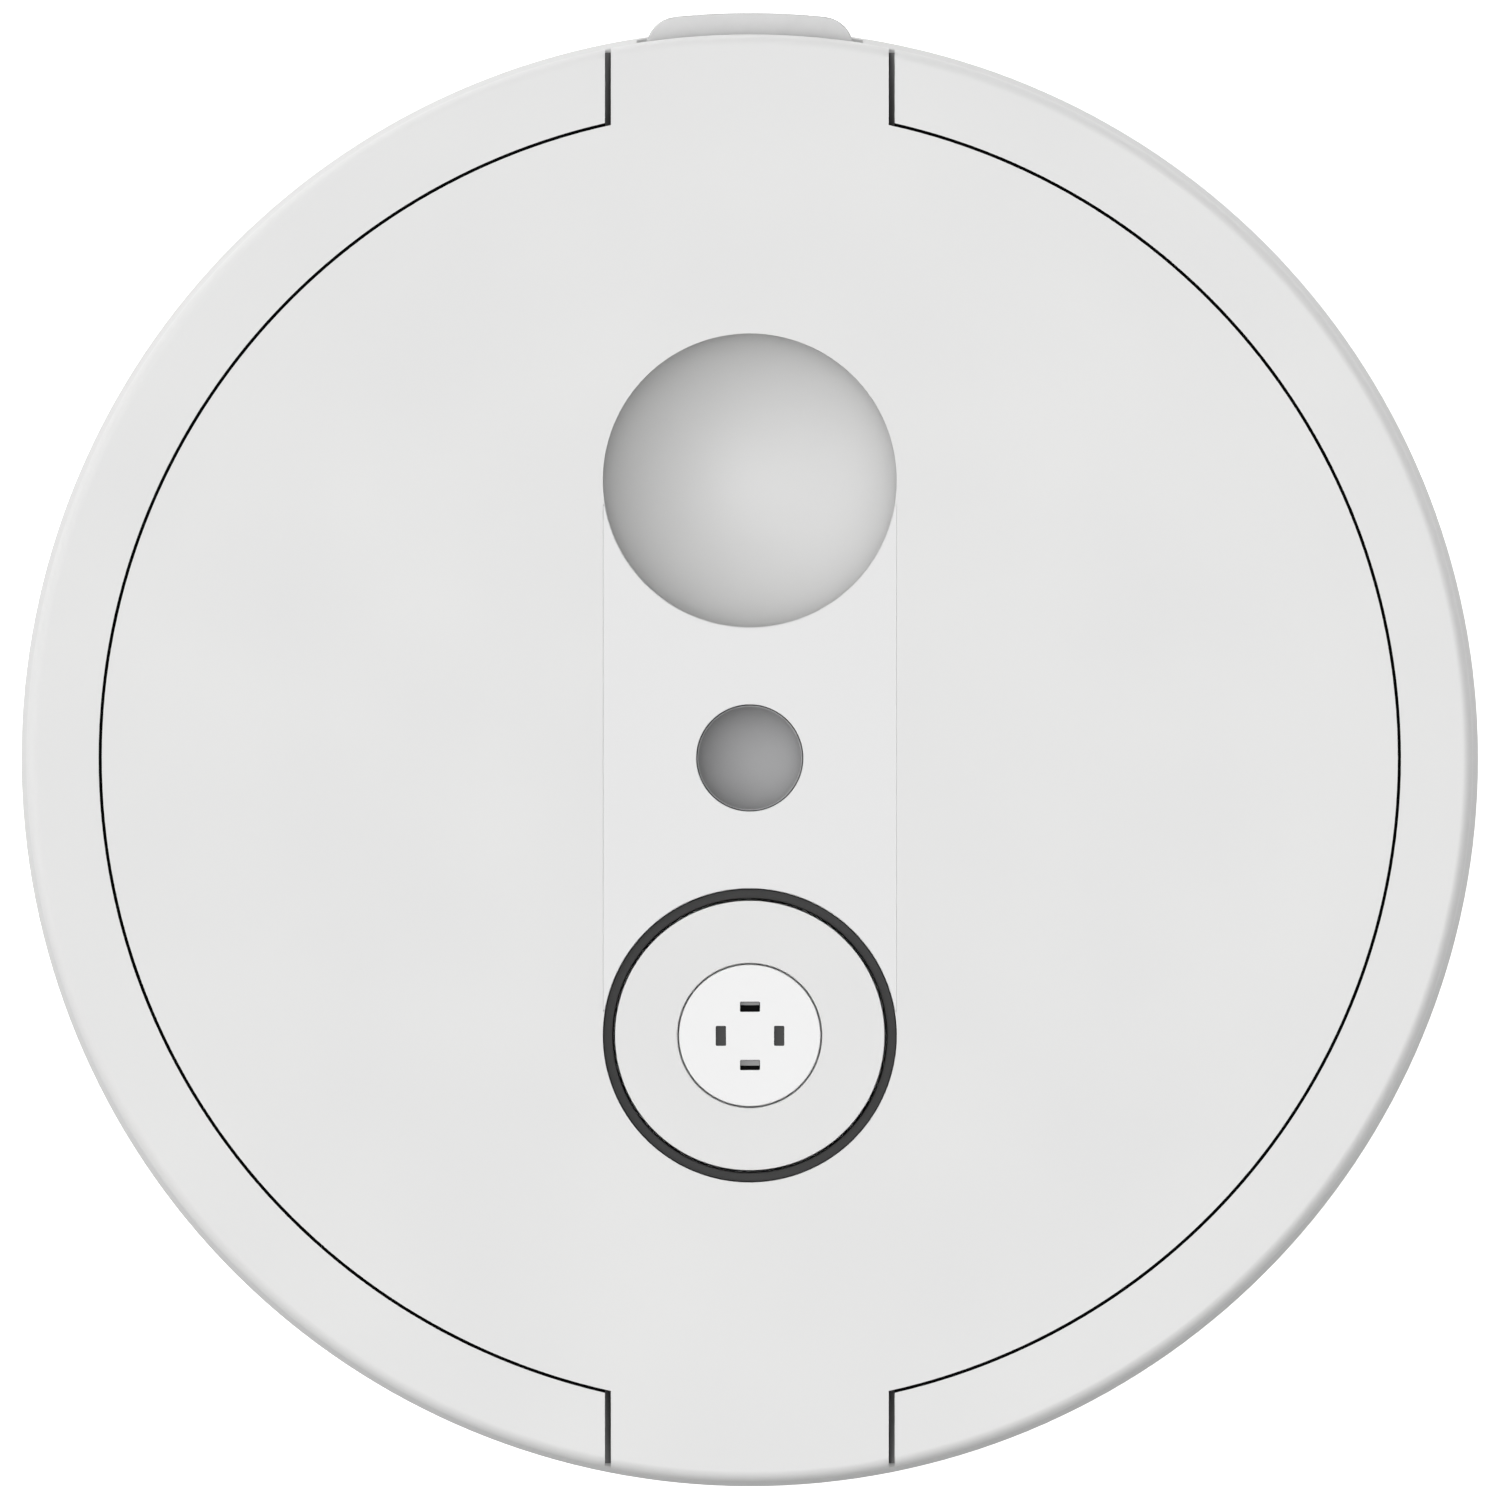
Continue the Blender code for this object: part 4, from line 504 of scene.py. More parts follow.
def lidPiece():
    radius, wall = lid["featureRadius"], lid["cupWall"]
    dish, pad = at(0, featureY), at(0, -featureY)
    wellFloor = topZ - lid["wellDepth"]
    cup = [(0, topZ - 1)] + bowl(radius + wall, lid["dishDepth"] + wall - 1, topZ - 1)[1:]
    hub, sleeve = lid["hub"]
    bored = [(0, topZ + 3), *bowl(radius, lid["dishDepth"], topZ)]
    grown = corners("control_overlay")[1].x + lid["recessGap"]
    reach = corners("control_overlay")[1].y + 0.15
    bm = carved(
        topDisc(),
        (keep, lidRegion()),
        (join, turned(cup, 96, dish)),
        (join, rod(radius + wall, wellFloor - wall, layerZ + 1, pad, 96)),
        (join, rod(hub, layerZ - 2, layerZ + 1, None, 64)),
        *pegRing(lid["pegCircle"], (30, 150, 210, 330)),
        (cut, turned(bored, 128, dish)),
        (cut, rod(radius, wellFloor, topZ + 3, pad, 128)),
        (cut, rod(lid["guideHole"], wellFloor - wall - 2, topZ, pad, 48)),
        (cut, rod(lid["penHole"], layerZ - 5, topZ + 3, None, 96)),
        (cut, rod(sleeve, layerZ - 5, layerZ, None, 64)),
        (cut, block((-grown, -reach, topZ - lid["recess"]), (grown, reach, topZ + 3))),
    )
    near = lid["discRadius"]

    def onSeam(p):
        if p.z < layerZ + 0.5:
            return False
        if math.hypot(p.x, p.y) < near - 0.5:
            return False
        return abs(math.hypot(p.x, p.y) - near) < 0.2 or abs(abs(p.x) - lid["tongueHalf"]) < 0.2

    return softened(bm, lid["seamEdge"], onSeam, 4, 50)


def coverPiece(side):
    inner = corners("right_side_cover")[0].x  # end face, beside the tongue
    seamRadius = lid["discRadius"] + lid["seamGap"]
    lean = math.degrees(math.acos(inner / seamRadius))
    far = wallFoot + 3
    outline = arc(seamRadius, lean, -lean, 110) + [(inner, -far), (far, -far), (far, far), (inner, far)]
    outline = [(side * x, y) for x, y in outline]
    region = extruded(outline, layerZ - 5, topZ + 5)
    pegs = pegRing(side * lid["coverPegCircle"], (side * turn for turn in (-60, 0, 60)))
    bm = carved(topDisc(), (keep, region), *pegs)

    def onSeam(p):
        if p.z < layerZ + 0.5:
            return False
        return abs(math.hypot(p.x, p.y) - seamRadius) < 0.1 or abs(abs(p.x) - inner) < 0.1

    return softened(bm, lid["coverEdge"], onSeam, 2, 50)


# The lid's material carries painted shade inside the finger dish
addPiece("lid", lidPiece(), "lidWhite", "chassis", ["top_cover"])
for side, word in ((-1, "left"), (1, "right")):
    nodes = [f"{word}_side_cover"]
    addPiece(f"{word}_cover", coverPiece(side), "shellWhite", "chassis", nodes)

gasket = {"lap": 0.5, "coverSide": 0.8, "outerEnd": 2.2, "wallGap": 0.3}


def gasketRing():
    low, high = corners("seam_gasket")
    inner, outer = lid["discRadius"] - gasket["lap"], lid["discRadius"] + lid["seamGap"] + gasket["lap"]
    return turned([(outer, high.z), (outer, low.z), (inner, low.z), (inner, high.z)], 192)


def gasketLegs():
    # Four strips in the tongue gaps, squeezed higher on the cover side and at their outer ends
    low, high = corners("seam_gasket")
    near, far = lid["tongueHalf"] + 0.02, corners("right_side_cover")[0].x - 0.02
    start = math.sqrt((lid["discRadius"] - gasket["lap"]) ** 2 - near**2) + 0.3
    end = math.sqrt((wallRadius(topZ) - gasket["wallGap"]) ** 2 - far**2)
    legs = bmesh.new()
    for sideX in (-1, 1):
        for sideY in (-1, 1):
            xs, ys = sorted((sideX * near, sideX * far)), sorted((sideY * start, sideY * end))
            leg = block((xs[0], ys[0], low.z + 0.01), (xs[1], ys[1], high.z - 0.01))
            for vert in leg.verts:
                if vert.co.z < high.z - 0.05:
                    continue
                if abs(vert.co.x) > (near + far) / 2:
                    vert.co.z += gasket["coverSide"]
                if abs(vert.co.y) > (start + end) / 2:
                    vert.co.z += gasket["outerEnd"]
            bmesh.ops.triangulate(leg, faces=leg.faces)
            made = asObject(leg, "leg")
            legs.from_mesh(made.data)
            bpy.data.objects.remove(made)
    return tidy(legs)


addPiece("gasket_ring", gasketRing(), "blackFoam", "chassis", ["seam_gasket"])
# The legs' grey is painted light: the same foam as the ring, made lighter where the gaps open at the rim
addPiece("gasket_legs", gasketLegs(), "greyFoam", "chassis")

strip = {"edge": 0.04, "endGap": 0.03}


def stripPiece():
    low, high = corners("control_overlay")
    ends = lid["featureRadius"] + strip["endGap"]
    bm = carved(
        block(low, high),
        (cut, rod(ends, low.z - 2, high.z + 2, at(0, featureY), 128)),
        (cut, rod(ends, low.z - 2, high.z + 2, at(0, -featureY), 128)),
        (cut, rod(lid["penHole"] + strip["endGap"], low.z - 2, high.z + 2, None, 96)),
    )
    return softened(bm, strip["edge"], lambda p: p.z > high.z - 0.1, 2, 60)


nodes = ["control_overlay"]
addPiece("control_strip", stripPiece(), "filmWhite", "chassis", nodes)
print("top made")


# Pad group, built about the well's axis

pad = {
    "padEdge": 0.06,
    "padGrown": 0.04,
    "padGap": 0.24,
    "ringEdge": 0.12,
    "ringSlope": 1.2,
    "ringFace": 0.95,
    "topThick": 2.5,
    "webDrop": 3.4,  # from the pad's top to the underside of its web
    "collar": 1.2,
    "guideHole": 2.6,
    "plunger": (1.0, 7.2),  # radius and distance from the axis
    "lug": (1.1, 0.65, 9.4),  # half width, half thickness and distance from the axis
    "lugFoot": 39.8,
    "pinHole": 0.55,
    "capEdge": 0.12,
    "capThick": 1.4,
    "capPocket": 0.4,
    "capHollow": (1.6, 5.2),  # from the stem to the rim
    "plate": (1.8, 5.0, 0.6),  # bore, radius and thickness
    "slot": (2.06, 1.06),
    "slotOffset": 3.0,
    "slotShift": (0.02, -0.04),
    "windowGap": 0.03,
    "slotCorner": 0.12,
    "ledge": 0.55,  # step seen in the front and rear windows, below the cap's top; its grey is painted shade
}
wellAxis = at(0, -featureY)


def ringPiece():
    low, high = corners("light_ring")
    outer, inner = high.x, high.x - pad["ringFace"]
    edge, near = pad["ringEdge"], corners("direction_pad")[1].x + pad["padGap"]
    profile = [(outer, high.z, edge), (outer, low.z), (near, low.z)]
    profile += [(near, high.z - pad["ringSlope"]), (inner, high.z, edge)]
    return turned(rounded(profile, 4), 160, wellAxis)


def padPiece():
    low, high = corners("direction_pad")
    outer, top = high.x + pad["padGrown"], high.z
    under, web, hole = top - pad["topThick"], top - pad["webDrop"], pad["guideHole"]
    bore = corners("go_button")[1].x + 0.1
    profile = [
        (outer, top, pad["padEdge"]),
        (outer, under, 0.2),
        (bore + pad["collar"], under),
        (bore + pad["collar"], web, 0.2),
        (hole, web),
        (hole, under),
        (bore, under),
        (bore, top, 0.12),
    ]
    radius, away = pad["plunger"]
    added = []
    for turn in (0, 90, 180, 270):
        place = around(away, turn, 0, -featureY)
        added.append((join, rod(radius, low.z, under - 0.2, place, 20)))
    half, thick, away = pad["lug"]
    for y in (-away, away):
        lugLow = (-half, y - thick - featureY, pad["lugFoot"])
        added.append((join, block(lugLow, (half, y + thick - featureY, under + 0.5))))
    pin = rod(pad["pinHole"], -20, 20, at(0, -featureY, middle("pad_gimbal").z) @ alongY, 20)
    return carved(turned(rounded(profile, 4), 144, wellAxis), *added, (cut, pin))


def slotShapes(shrink, low, high):
    wide, deep = pad["slot"][0] / 2 - shrink, pad["slot"][1] / 2 - shrink
    shiftX, shiftY = pad["slotShift"]
    made = []
    for x, y, turn in ((0, 1, 0), (0, -1, 0), (1, 0, 90), (-1, 0, 90)):
        corner = max(pad["slotCorner"] - shrink, 0.03)
        outline = cornered((-wide, -deep), (wide, deep), corner, 3)
        away = at(x * pad["slotOffset"] + shiftX, y * pad["slotOffset"] + shiftY - featureY)
        made.append(extruded(outline, low, high, away @ Matrix.Rotation(math.radians(turn), 4, "Z")))
    return made


def capPiece():
    low, high = corners("go_button")
    radius, top = high.x - 0.06, high.z
    skirt = top - pad["capThick"]
    pocket = skirt + pad["capPocket"]
    stem, rim = pad["capHollow"]
    profile = [(0, top), (radius, top, pad["capEdge"]), (radius, skirt), (rim, skirt), (rim, pocket)]
    profile += [(stem, pocket), (stem, low.z, 0.2), (0, low.z)]
    slots = [(cut, shape) for shape in slotShapes(0, skirt - 1, top + 1)]
    return carved(turned(rounded(profile, 5), 128, wellAxis), *slots)


def guidePlate():
    foot = corners("go_light_guide")[0].z
    bore, radius, thick = pad["plate"]
    profile = [(radius, foot + thick), (radius, foot), (bore, foot), (bore, foot + thick)]
    return turned(profile, 96, wellAxis)


addPiece("smoked_ring", ringPiece(), "smokedRing", "chassis", ["light_ring"])
addPiece("thumb_pad", padPiece(), "shellWhite", "pad", ["direction_pad"])
addPiece("go_cap", capPiece(), "capWhite", "go", ["go_button"])
# The plate's black is partly painted shade for the shadowed slot bottoms
addPiece("guide_plate", guidePlate(), "deepBlack", "go", ["go_light_guide"])
plateTop = corners("go_light_guide")[0].z + 0.55
windowTop = topZ - 0.35
gap = pad["windowGap"]
for shape, word in zip(slotShapes(gap, plateTop, windowTop)[2:], ("right", "left")):
    addPiece(f"{word}_window", shape, "guideGrey", "go")
offset = pad["slotOffset"]
# Front and rear steps: their mid-grey is painted shade for a shadowed white ledge
for y, depth, word in ((offset + 0.3, 0.18, "front"), (-offset + 0.19, 0.29, "rear")):
    wide = pad["slot"][0] / 2 - gap
    low = (-wide, y - depth - featureY, plateTop)
    ledge = softened(block(low, (wide, y + depth - featureY, topZ - pad["ledge"])), 0.03, None, 2)
    addPiece(f"{word}_window_step", ledge, "stepGrey", "go")

plug = {"lip": 0.12, "dish": 4.3}


def plugPiece():
    low, high = corners("pen_plug")
    radius, top = high.x, high.z
    hollow = radius - plug["lip"]
    curve = [(x * hollow, top + y * plug["dish"]) for x, y in arc(1, -90, 0, 24)][1:]
    outside = rounded([(hollow, top), (radius, top, 0.05), (radius, low.z, 0.8), (0, low.z)], 4)[1:]
    return turned([(0, top - plug["dish"]), *curve, *outside], 96)


addPiece("well_plug", plugPiece(), "plugGrey", "plug", ["pen_plug"])
print("pad and plug made")


# Body wall

wall = {
    "inside": 72.18,
    "shelf": 2.0,
    "shelfRadius": 62.75,
    "bossCircle": 68.58,
    "boss": (4.0, 1.4, 14.4),  # radius, bore and depth of the bore
    "bossFoot": 2.6,
    "socketGap": 0.3,
    "knobTravel": 3.0,
    "noseGap": 0.9,
    "noseTopGap": 0.12,
    "noseCorner": 2.0,
    "openingEdge": 0.35,
}
nose = {
    "half": 10.7,
    "tall": 25.4,
    "corner": 3.3,
    "depth": 10.0,
    "wall": 1.6,
    "edge": 0.2,
    "flangeBack": 7.82,
    "flangeThick": 1.6,
}
noseLow, noseHigh = corners("nose_bumper")
noseFoot = noseHigh.z - nose["tall"]


def openingAlongY(low, high, corner, near, far):
    # A rounded rectangle in X and Z, run from near to far along Y
    return extruded(cornered((low[0], -high[1]), (high[0], -low[1]), corner), near, far, alongY)


def grownBox(node, grow):
    low, high = corners(node)
    return (low.x - grow, low.z - grow), (high.x + grow, high.z + grow)


def shellPiece():
    top, inside, shelf = shellHigh.z, wall["inside"], shellHigh.z - wall["shelf"]
    profile = [
        (wallRadius(top), top, 0.25),
        (wallFoot, footZ, 1.0),
        (inside, footZ, 0.3),
        (inside, shelf),
        (wall["shelfRadius"], shelf),
        (wall["shelfRadius"], top),
    ]
    bosses = []
    radius, bore, depth = wall["boss"]
    for turn in (45, 135, 225, 315):
        away = around(wall["bossCircle"], turn)
        bosses.append((join, rod(radius, footZ + wall["bossFoot"], shelf + 0.5, away, 40)))
        bosses.append((cut, rod(bore, footZ, footZ + depth, away, 24)))
    front = inside - 6, wallFoot + 3
    rear = -wallFoot - 3, -inside + 5
    knobLow, knobHigh = grownBox("power_switch_knob", wall["socketGap"])
    knobHigh = (knobHigh[0] + wall["knobTravel"], knobHigh[1])
    noseHalf = nose["half"] + wall["noseGap"]
    bottom = noseFoot - wall["noseGap"]
    holeTop = noseHigh.z + wall["noseTopGap"]
    noseHole = openingAlongY((-noseHalf, bottom), (noseHalf, holeTop), wall["noseCorner"], *front)
    bm = carved(
        turned(rounded(profile, 6), lid["steps"]),
        *bosses,
        (cut, noseHole),
        (cut, openingAlongY(*grownBox("usb_socket", wall["socketGap"]), 1.5, *rear)),
        (cut, openingAlongY(knobLow, knobHigh, 0.5, *rear)),
    )

    def onOpening(p):
        if math.hypot(p.x, p.y) < wall["inside"] + 1 or p.z > shelf - 0.3:
            return False
        inNose = p.y > 0 and abs(p.x) < noseHalf + 0.2 and p.z > bottom - 0.2
        return inNose or (p.y < 0 and abs(p.x) < 16 and 15 < p.z < 25)

    return softened(bm, wall["openingEdge"], onOpening, 3, 50)


addPiece("body_wall", shellPiece(), "wallWhite", "chassis", ["body_shell"])


# Nose

lensLow, lensHigh = corners("nose_window")


def nosePiece():
    front, corner = noseHigh.y, nose["corner"]
    cornerX = nose["half"] - corner
    cornerY = math.sqrt((front - corner) ** 2 - cornerX**2)
    lean = math.degrees(math.atan2(cornerY, cornerX))
    back = front - nose["depth"]
    bend = arc(corner, 0, lean, 8, (cornerX, cornerY))
    bow = arc(front, lean, 180 - lean, 16)[1:-1]
    mirrored = [(-x, y) for x, y in reversed(bend)]
    outline = [(nose["half"], back), *bend, *bow, *mirrored, (-nose["half"], back)]
    body = extruded(outline, noseFoot, noseHigh.z)
    softened(body, nose["edge"], lambda p: p.y > back + 0.5, 4, 60)
    thick = nose["wall"]
    flangeBack = front - nose["flangeBack"]
    flangeFront = flangeBack + nose["flangeThick"]
    flange = block((noseLow.x, flangeBack, noseLow.z), (noseHigh.x, flangeFront, noseHigh.z))
    hollow = block(
        (-nose["half"] + thick, back - 2, noseFoot + thick),
        (nose["half"] - thick, front - 2.5, noseHigh.z - thick),
    )
    hole = openingAlongY(*grownBox("nose_window", 0.2), 1.6, front - 4, front + 2)
    bm = carved(body, (join, softened(flange, 0.3)), (cut, hollow), (cut, hole))

    def onHole(p):
        beside = abs(p.x) < lensHigh.x + 0.5
        return p.y > front - 2.2 and beside and lensLow.z - 0.5 < p.z < lensHigh.z + 0.5

    return softened(bm, 0.25, onHole, 3, 50)


def lensPiece():
    bm = openingAlongY((lensLow.x, lensLow.z), (lensHigh.x, lensHigh.z), 1.4, lensLow.y, lensHigh.y)
    return softened(bm, 0.25, lambda p: p.y > lensHigh.y - 0.1, 3)


spring = {"wire": 0.18, "turns": 3, "perTurn": 32}


def springPiece(low, high):
    curve = bpy.data.curves.new("coil", "CURVE")
    curve.dimensions = "3D"
    curve.bevel_depth = spring["wire"]
    curve.bevel_resolution = 2
    curve.use_fill_caps = True
    spot = (low + high) / 2
    radius = min(high.x - low.x, high.z - low.z) / 2 - spring["wire"]
    count = spring["turns"] * spring["perTurn"]
    line = curve.splines.new("POLY")
    line.points.add(count)
    for i, point in enumerate(line.points):
        angle = math.tau * i / spring["perTurn"]
        y = low.y + spring["wire"] + (high.y - low.y - 2 * spring["wire"]) * i / count
        point.co = (spot.x + radius * math.cos(angle), y, spot.z + radius * math.sin(angle), 1)
    holder = bpy.data.objects.new("coil", curve)
    bpy.context.scene.collection.objects.link(holder)
    graph = bpy.context.evaluated_depsgraph_get()
    bm = bmesh.new()
    bm.from_mesh(holder.evaluated_get(graph).to_mesh())
    bpy.data.objects.remove(holder)
    bpy.data.curves.remove(curve)
    return tidy(bm, 1e-4)


# Each return spring is built between its bracket and the nose, baked in place
for word in ("left", "right"):
    low, high = corners(f"{word}_bumper_spring")
    coil = springPiece(low, high)
    nodes = [f"{word}_bumper_spring"]
    between = ("chassis", "nose", low * mm, Vector((low.x, high.y, low.z)) * mm)
    addPiece(f"{word}_return_spring", coil, "groundSteel", between, nodes, 60)
# The nose's grey is painted shade for it lying under the lid's rim
addPiece("nose_shell", nosePiece(), "noseGrey", "nose", ["nose_bumper"])
addPiece("nose_lens", lensPiece(), "infraredAcrylic", "nose", ["nose_window"])
print("wall and nose made")


# Floor plate and what is on it

base = {
    "edge": 0.4,
    "slotCorner": 3.0,
    "wheelRadius": 20.0,
    "wheelHalf": 4.5,
    "wheelGap": 1.8,
    "penHole": 7.2,
    "casterHole": 8.35,
    "windowHalf": 12,
    "partGap": 0.25,
    "cellGap": (1.5, 0.3, 0),
    "screwBore": 1.4,
    "screwHead": (2.55, 1.2),  # radius and depth
    "grille": (5.0, 1.2),  # circle of the speaker's holes, and their radius
    "ejector": (2.6, 0.12),  # witness marks of the tool's ejector pins: radius and depth
    "ejectorsAt": ((-40, 48), (40, 48), (-30, 8), (30, 8), (-44, -30), (44, -24), (-18, 30), (18, 30)),
    "post": (2.4, 30.1),  # radius and top
    "postsAt": ((31.0, 43.0), (-31.0, 43.0), (21.0, -43.0), (-21.0, -43.0)),
    "doorBoss": (2.5, 5.0),
    "plateThick": 2.4,
}
plateLow, plateHigh = corners("base_plate")
plateTopZ = plateLow.z + base["plateThick"]


def plan(low, high, corner, bottom, top):
    return extruded(cornered(low, high, corner), bottom, top)


def basePiece():
    low, high = plateLow.z, plateTopZ
    radius = plateHigh.x
    below, above = low - 2, high + 2
    profile = [(0, high), (radius, high), (radius, low, base["edge"]), (0, low)]
    cuts = [rod(base["penHole"], below, above, None, 64)]
    for word in ("left", "right"):
        wheel = middle(f"{word}_tyre")
        reach = math.sqrt(base["wheelRadius"] ** 2 - (wheel.z - high) ** 2) + base["wheelGap"]
        half = base["wheelHalf"] + base["wheelGap"]
        slotLow, slotHigh = (wheel.x - half, -reach), (wheel.x + half, reach)
        cuts.append(plan(slotLow, slotHigh, base["slotCorner"], below, above))
    for word in ("front", "rear"):
        cuts.append(rod(base["casterHole"], below, above, at(0, middle(f"{word}_caster_ball").y), 64))
    window = corners("line_window")
    half, gap, bore = base["windowHalf"], base["partGap"], base["screwBore"]
    cuts.append(plan((-half, window[0].y - gap), (half, window[1].y + gap), 0.6, below, above))
    doorLow, doorHigh = corners("battery_door")
    gap = Vector((gap, gap, 0))
    cuts.append(plan(doorLow - gap, doorHigh + gap, 1.5, below, doorHigh.z + 0.2))
    cell = corners("battery_cell")
    gap = Vector(base["cellGap"])
    cuts.append(plan(cell[0] - gap, cell[1] + gap, 1, below, above))
    doorScrew = middle("battery_door_screw")
    cuts.append(rod(bore, below, high + 4, at(doorScrew.x, doorScrew.y), 24))
    head, depth = base["screwHead"]
    for k in range(4):
        spot = middle(f"base_screw_{k + 1}")
        cuts.append(rod(bore, below, above, at(spot.x, spot.y), 24))
        cuts.append(rod(head, below, low + depth, at(spot.x, spot.y), 40))
    speaker = middle("speaker")
    circle, hole = base["grille"]
    cuts.append(rod(hole, below, above, at(speaker.x, speaker.y), 24))
    for k in range(1, 7):
        cuts.append(rod(hole, below, above, around(circle, 60 * k, speaker.x, speaker.y), 24))
    mark, depth = base["ejector"]
    cuts += [rod(mark, below, low + depth, at(x, y), 32) for x, y in base["ejectorsAt"]]
    post, postTop = base["post"]
    posts = [rod(post, high - 1, postTop, at(x, y), 24) for x, y in base["postsAt"]]
    outer, tall = base["doorBoss"]
    boss = rod(outer, high - 1, high + tall, at(doorScrew.x, doorScrew.y), 32)
    steps = [(join, shape) for shape in [boss, *posts]] + [(cut, shape) for shape in cuts]
    bm = carved(turned(rounded(profile, 4), 192), *steps)
    return softened(bm, 0.25, lambda p: p.z < low + 0.05 and math.hypot(p.x, p.y) < radius - 1, 2, 60)


door = {"grips": range(-8, 9, 2), "gripHalf": 0.5, "gripSpan": (9, 3), "gripTall": 0.35}


def doorPiece():
    low, high = corners("battery_door")
    spot = middle("battery_door_screw")
    plate = plan((low.x, low.y), (high.x, high.y), 1.3, low.z, high.z)
    grips = []
    half, (far, near) = door["gripHalf"], door["gripSpan"]
    for x in door["grips"]:
        gripLow = (x - half, high.y - far, low.z - door["gripTall"])
        grip = block(gripLow, (x + half, high.y - near, low.z + 0.5))
        grips.append((join, softened(grip, 0.3)))
    bm = carved(plate, *grips, (cut, rod(base["screwBore"], low.z - 2, high.z + 2, at(spot.x, spot.y), 24)))
    return softened(bm, 0.2, lambda p: p.z < low.z + 0.02 and abs(p.x) > 12, 2, 60)


addPiece("floor_plate", basePiece(), "baseWhite", "chassis", ["base_plate"])
addPiece("cell_door", doorPiece(), "baseWhite", "chassis", ["battery_door"])

screwLook = {"headHeight": 1.5, "recess": 0.9, "shank": 1.3, "tip": (0.5, 1.6), "arm": (0.38, 1.35)}


def screwPiece(node):
    low, high = corners(node)
    spot = (low + high) / 2
    head = high.x - spot.x
    seat, shank = low.z + screwLook["headHeight"], screwLook["shank"]
    tip, taper = screwLook["tip"]
    profile = [
        (0, high.z),
        (tip, high.z),
        (shank, high.z - taper),
        (shank, seat),
        (head, seat, 0.1),
        (head, low.z, 0.95),
        (0, low.z),
    ]
    bm = turned(rounded(profile, 6), 48, at(spot.x, spot.y))
    arms = []
    for wide, deep in (screwLook["arm"], screwLook["arm"][::-1]):
        armLow = (spot.x - wide, spot.y - deep, low.z - 1)
        armHigh = (spot.x + wide, spot.y + deep, low.z + screwLook["recess"])
        arms.append((cut, block(armLow, armHigh)))
    return carved(bm, *arms)


for node in ["battery_door_screw"] + [f"base_screw_{k + 1}" for k in range(4)]:
    addPiece(f"{node}_zinc", screwPiece(node), "zincScrew", "chassis", [node])


def lineWindow():
    low, high = corners("line_window")
    bm = plan((low.x, low.y), (high.x, high.y), 0.5, low.z, high.z)
    return softened(bm, 0.15, lambda p: p.z < low.z + 0.05, 2)


addPiece("line_lens", lineWindow(), "infraredAcrylic", "chassis", ["line_window"])


# Casters


caster = {"ball": 6.0, "cavity": 6.3, "outer": 8.1, "dome": 2.6, "flangeZ": (7.6, 9.1)}


def socketPiece(word):
    low, high = corners(f"{word}_caster_socket")
    ball = middle(f"{word}_caster_ball")
    cavity, outer, flange, lip = caster["cavity"], caster["outer"], high.x, low.z
    under, over = caster["flangeZ"]
    lean = math.degrees(math.asin((lip - ball.z) / cavity))
    hollow = arc(cavity, lean, 90, 28, (0, ball.z))[:-1]
    outside = rounded(
        [
            (0, high.z),
            (outer, high.z, caster["dome"]),
            (outer, over, 0.2),
            (flange, over, 0.3),
            (flange, under),
            (outer, under),
            (outer, lip, 0.7),
            (hollow[0][0], lip),
        ],
        6,
    )
    return turned([*outside[:-1], *hollow, (0, ball.z + cavity)], 96, at(0, ball.y))


def ballPiece(word):
    bm = bmesh.new()
    spot = middle(f"{word}_caster_ball")
    bmesh.ops.create_uvsphere(bm, u_segments=64, v_segments=40, radius=caster["ball"])
    return placed(bm, at(*spot))


for word in ("front", "rear"):
    made = socketPiece(word)
    nodes = [f"{word}_caster_socket"]
    addPiece(f"{word}_socket", made, "blackNylon", "chassis", nodes)
    made = ballPiece(word)
    nodes = [f"{word}_caster_ball"]
    addPiece(f"{word}_ball_ground", made, "groundSteel", f"{word}_ball", nodes)


# Wheels

wheel = {
    "width": 9.0,
    "seat": 16.4,
    "crown": (0.7, 1.6),  # drop and width of the tyre's shoulders
    "web": 1.3,
    "lip": (2.6, 3.0),  # thickness of the rim at its edge and at the web
    "hub": 4.5,
    "axle": 1.54,
    "holes": 5,
    "holeRadius": 2.5,
    "treads": 40,
    "treadDepth": 0.45,
}


def tyrePiece(word):
    low, high = corners(f"{word}_tyre")
    spot, radius, half = (low + high) / 2, (high.z - low.z) / 2, wheel["width"] / 2
    inner = wheel["seat"] + 0.05
    drop, wide = wheel["crown"]
    shoulder = half - wide
    profile = [
        (radius - drop, half, 0.5),
        (radius, shoulder),
        (radius, -shoulder),
        (radius - drop, -half, 0.5),
        (inner, -half),
        (inner, half),
    ]
    bm = turned(rounded(profile, 4), wheel["treads"] * 3)
    chosen = []
    for face in bm.faces:
        centre = face.calc_center_median()
        if math.hypot(centre.x, centre.y) > radius - 0.1 and abs(centre.z) < shoulder:
            turn = math.degrees(math.atan2(centre.y, centre.x)) % 360
            if math.floor(turn / (120 / wheel["treads"])) % 3 == 0:
                chosen.append(face)
    depth = -wheel["treadDepth"]
    bmesh.ops.inset_individual(bm, faces=chosen, thickness=0.1, depth=depth, use_even_offset=True)
    return placed(bm, at(*spot) @ alongX)


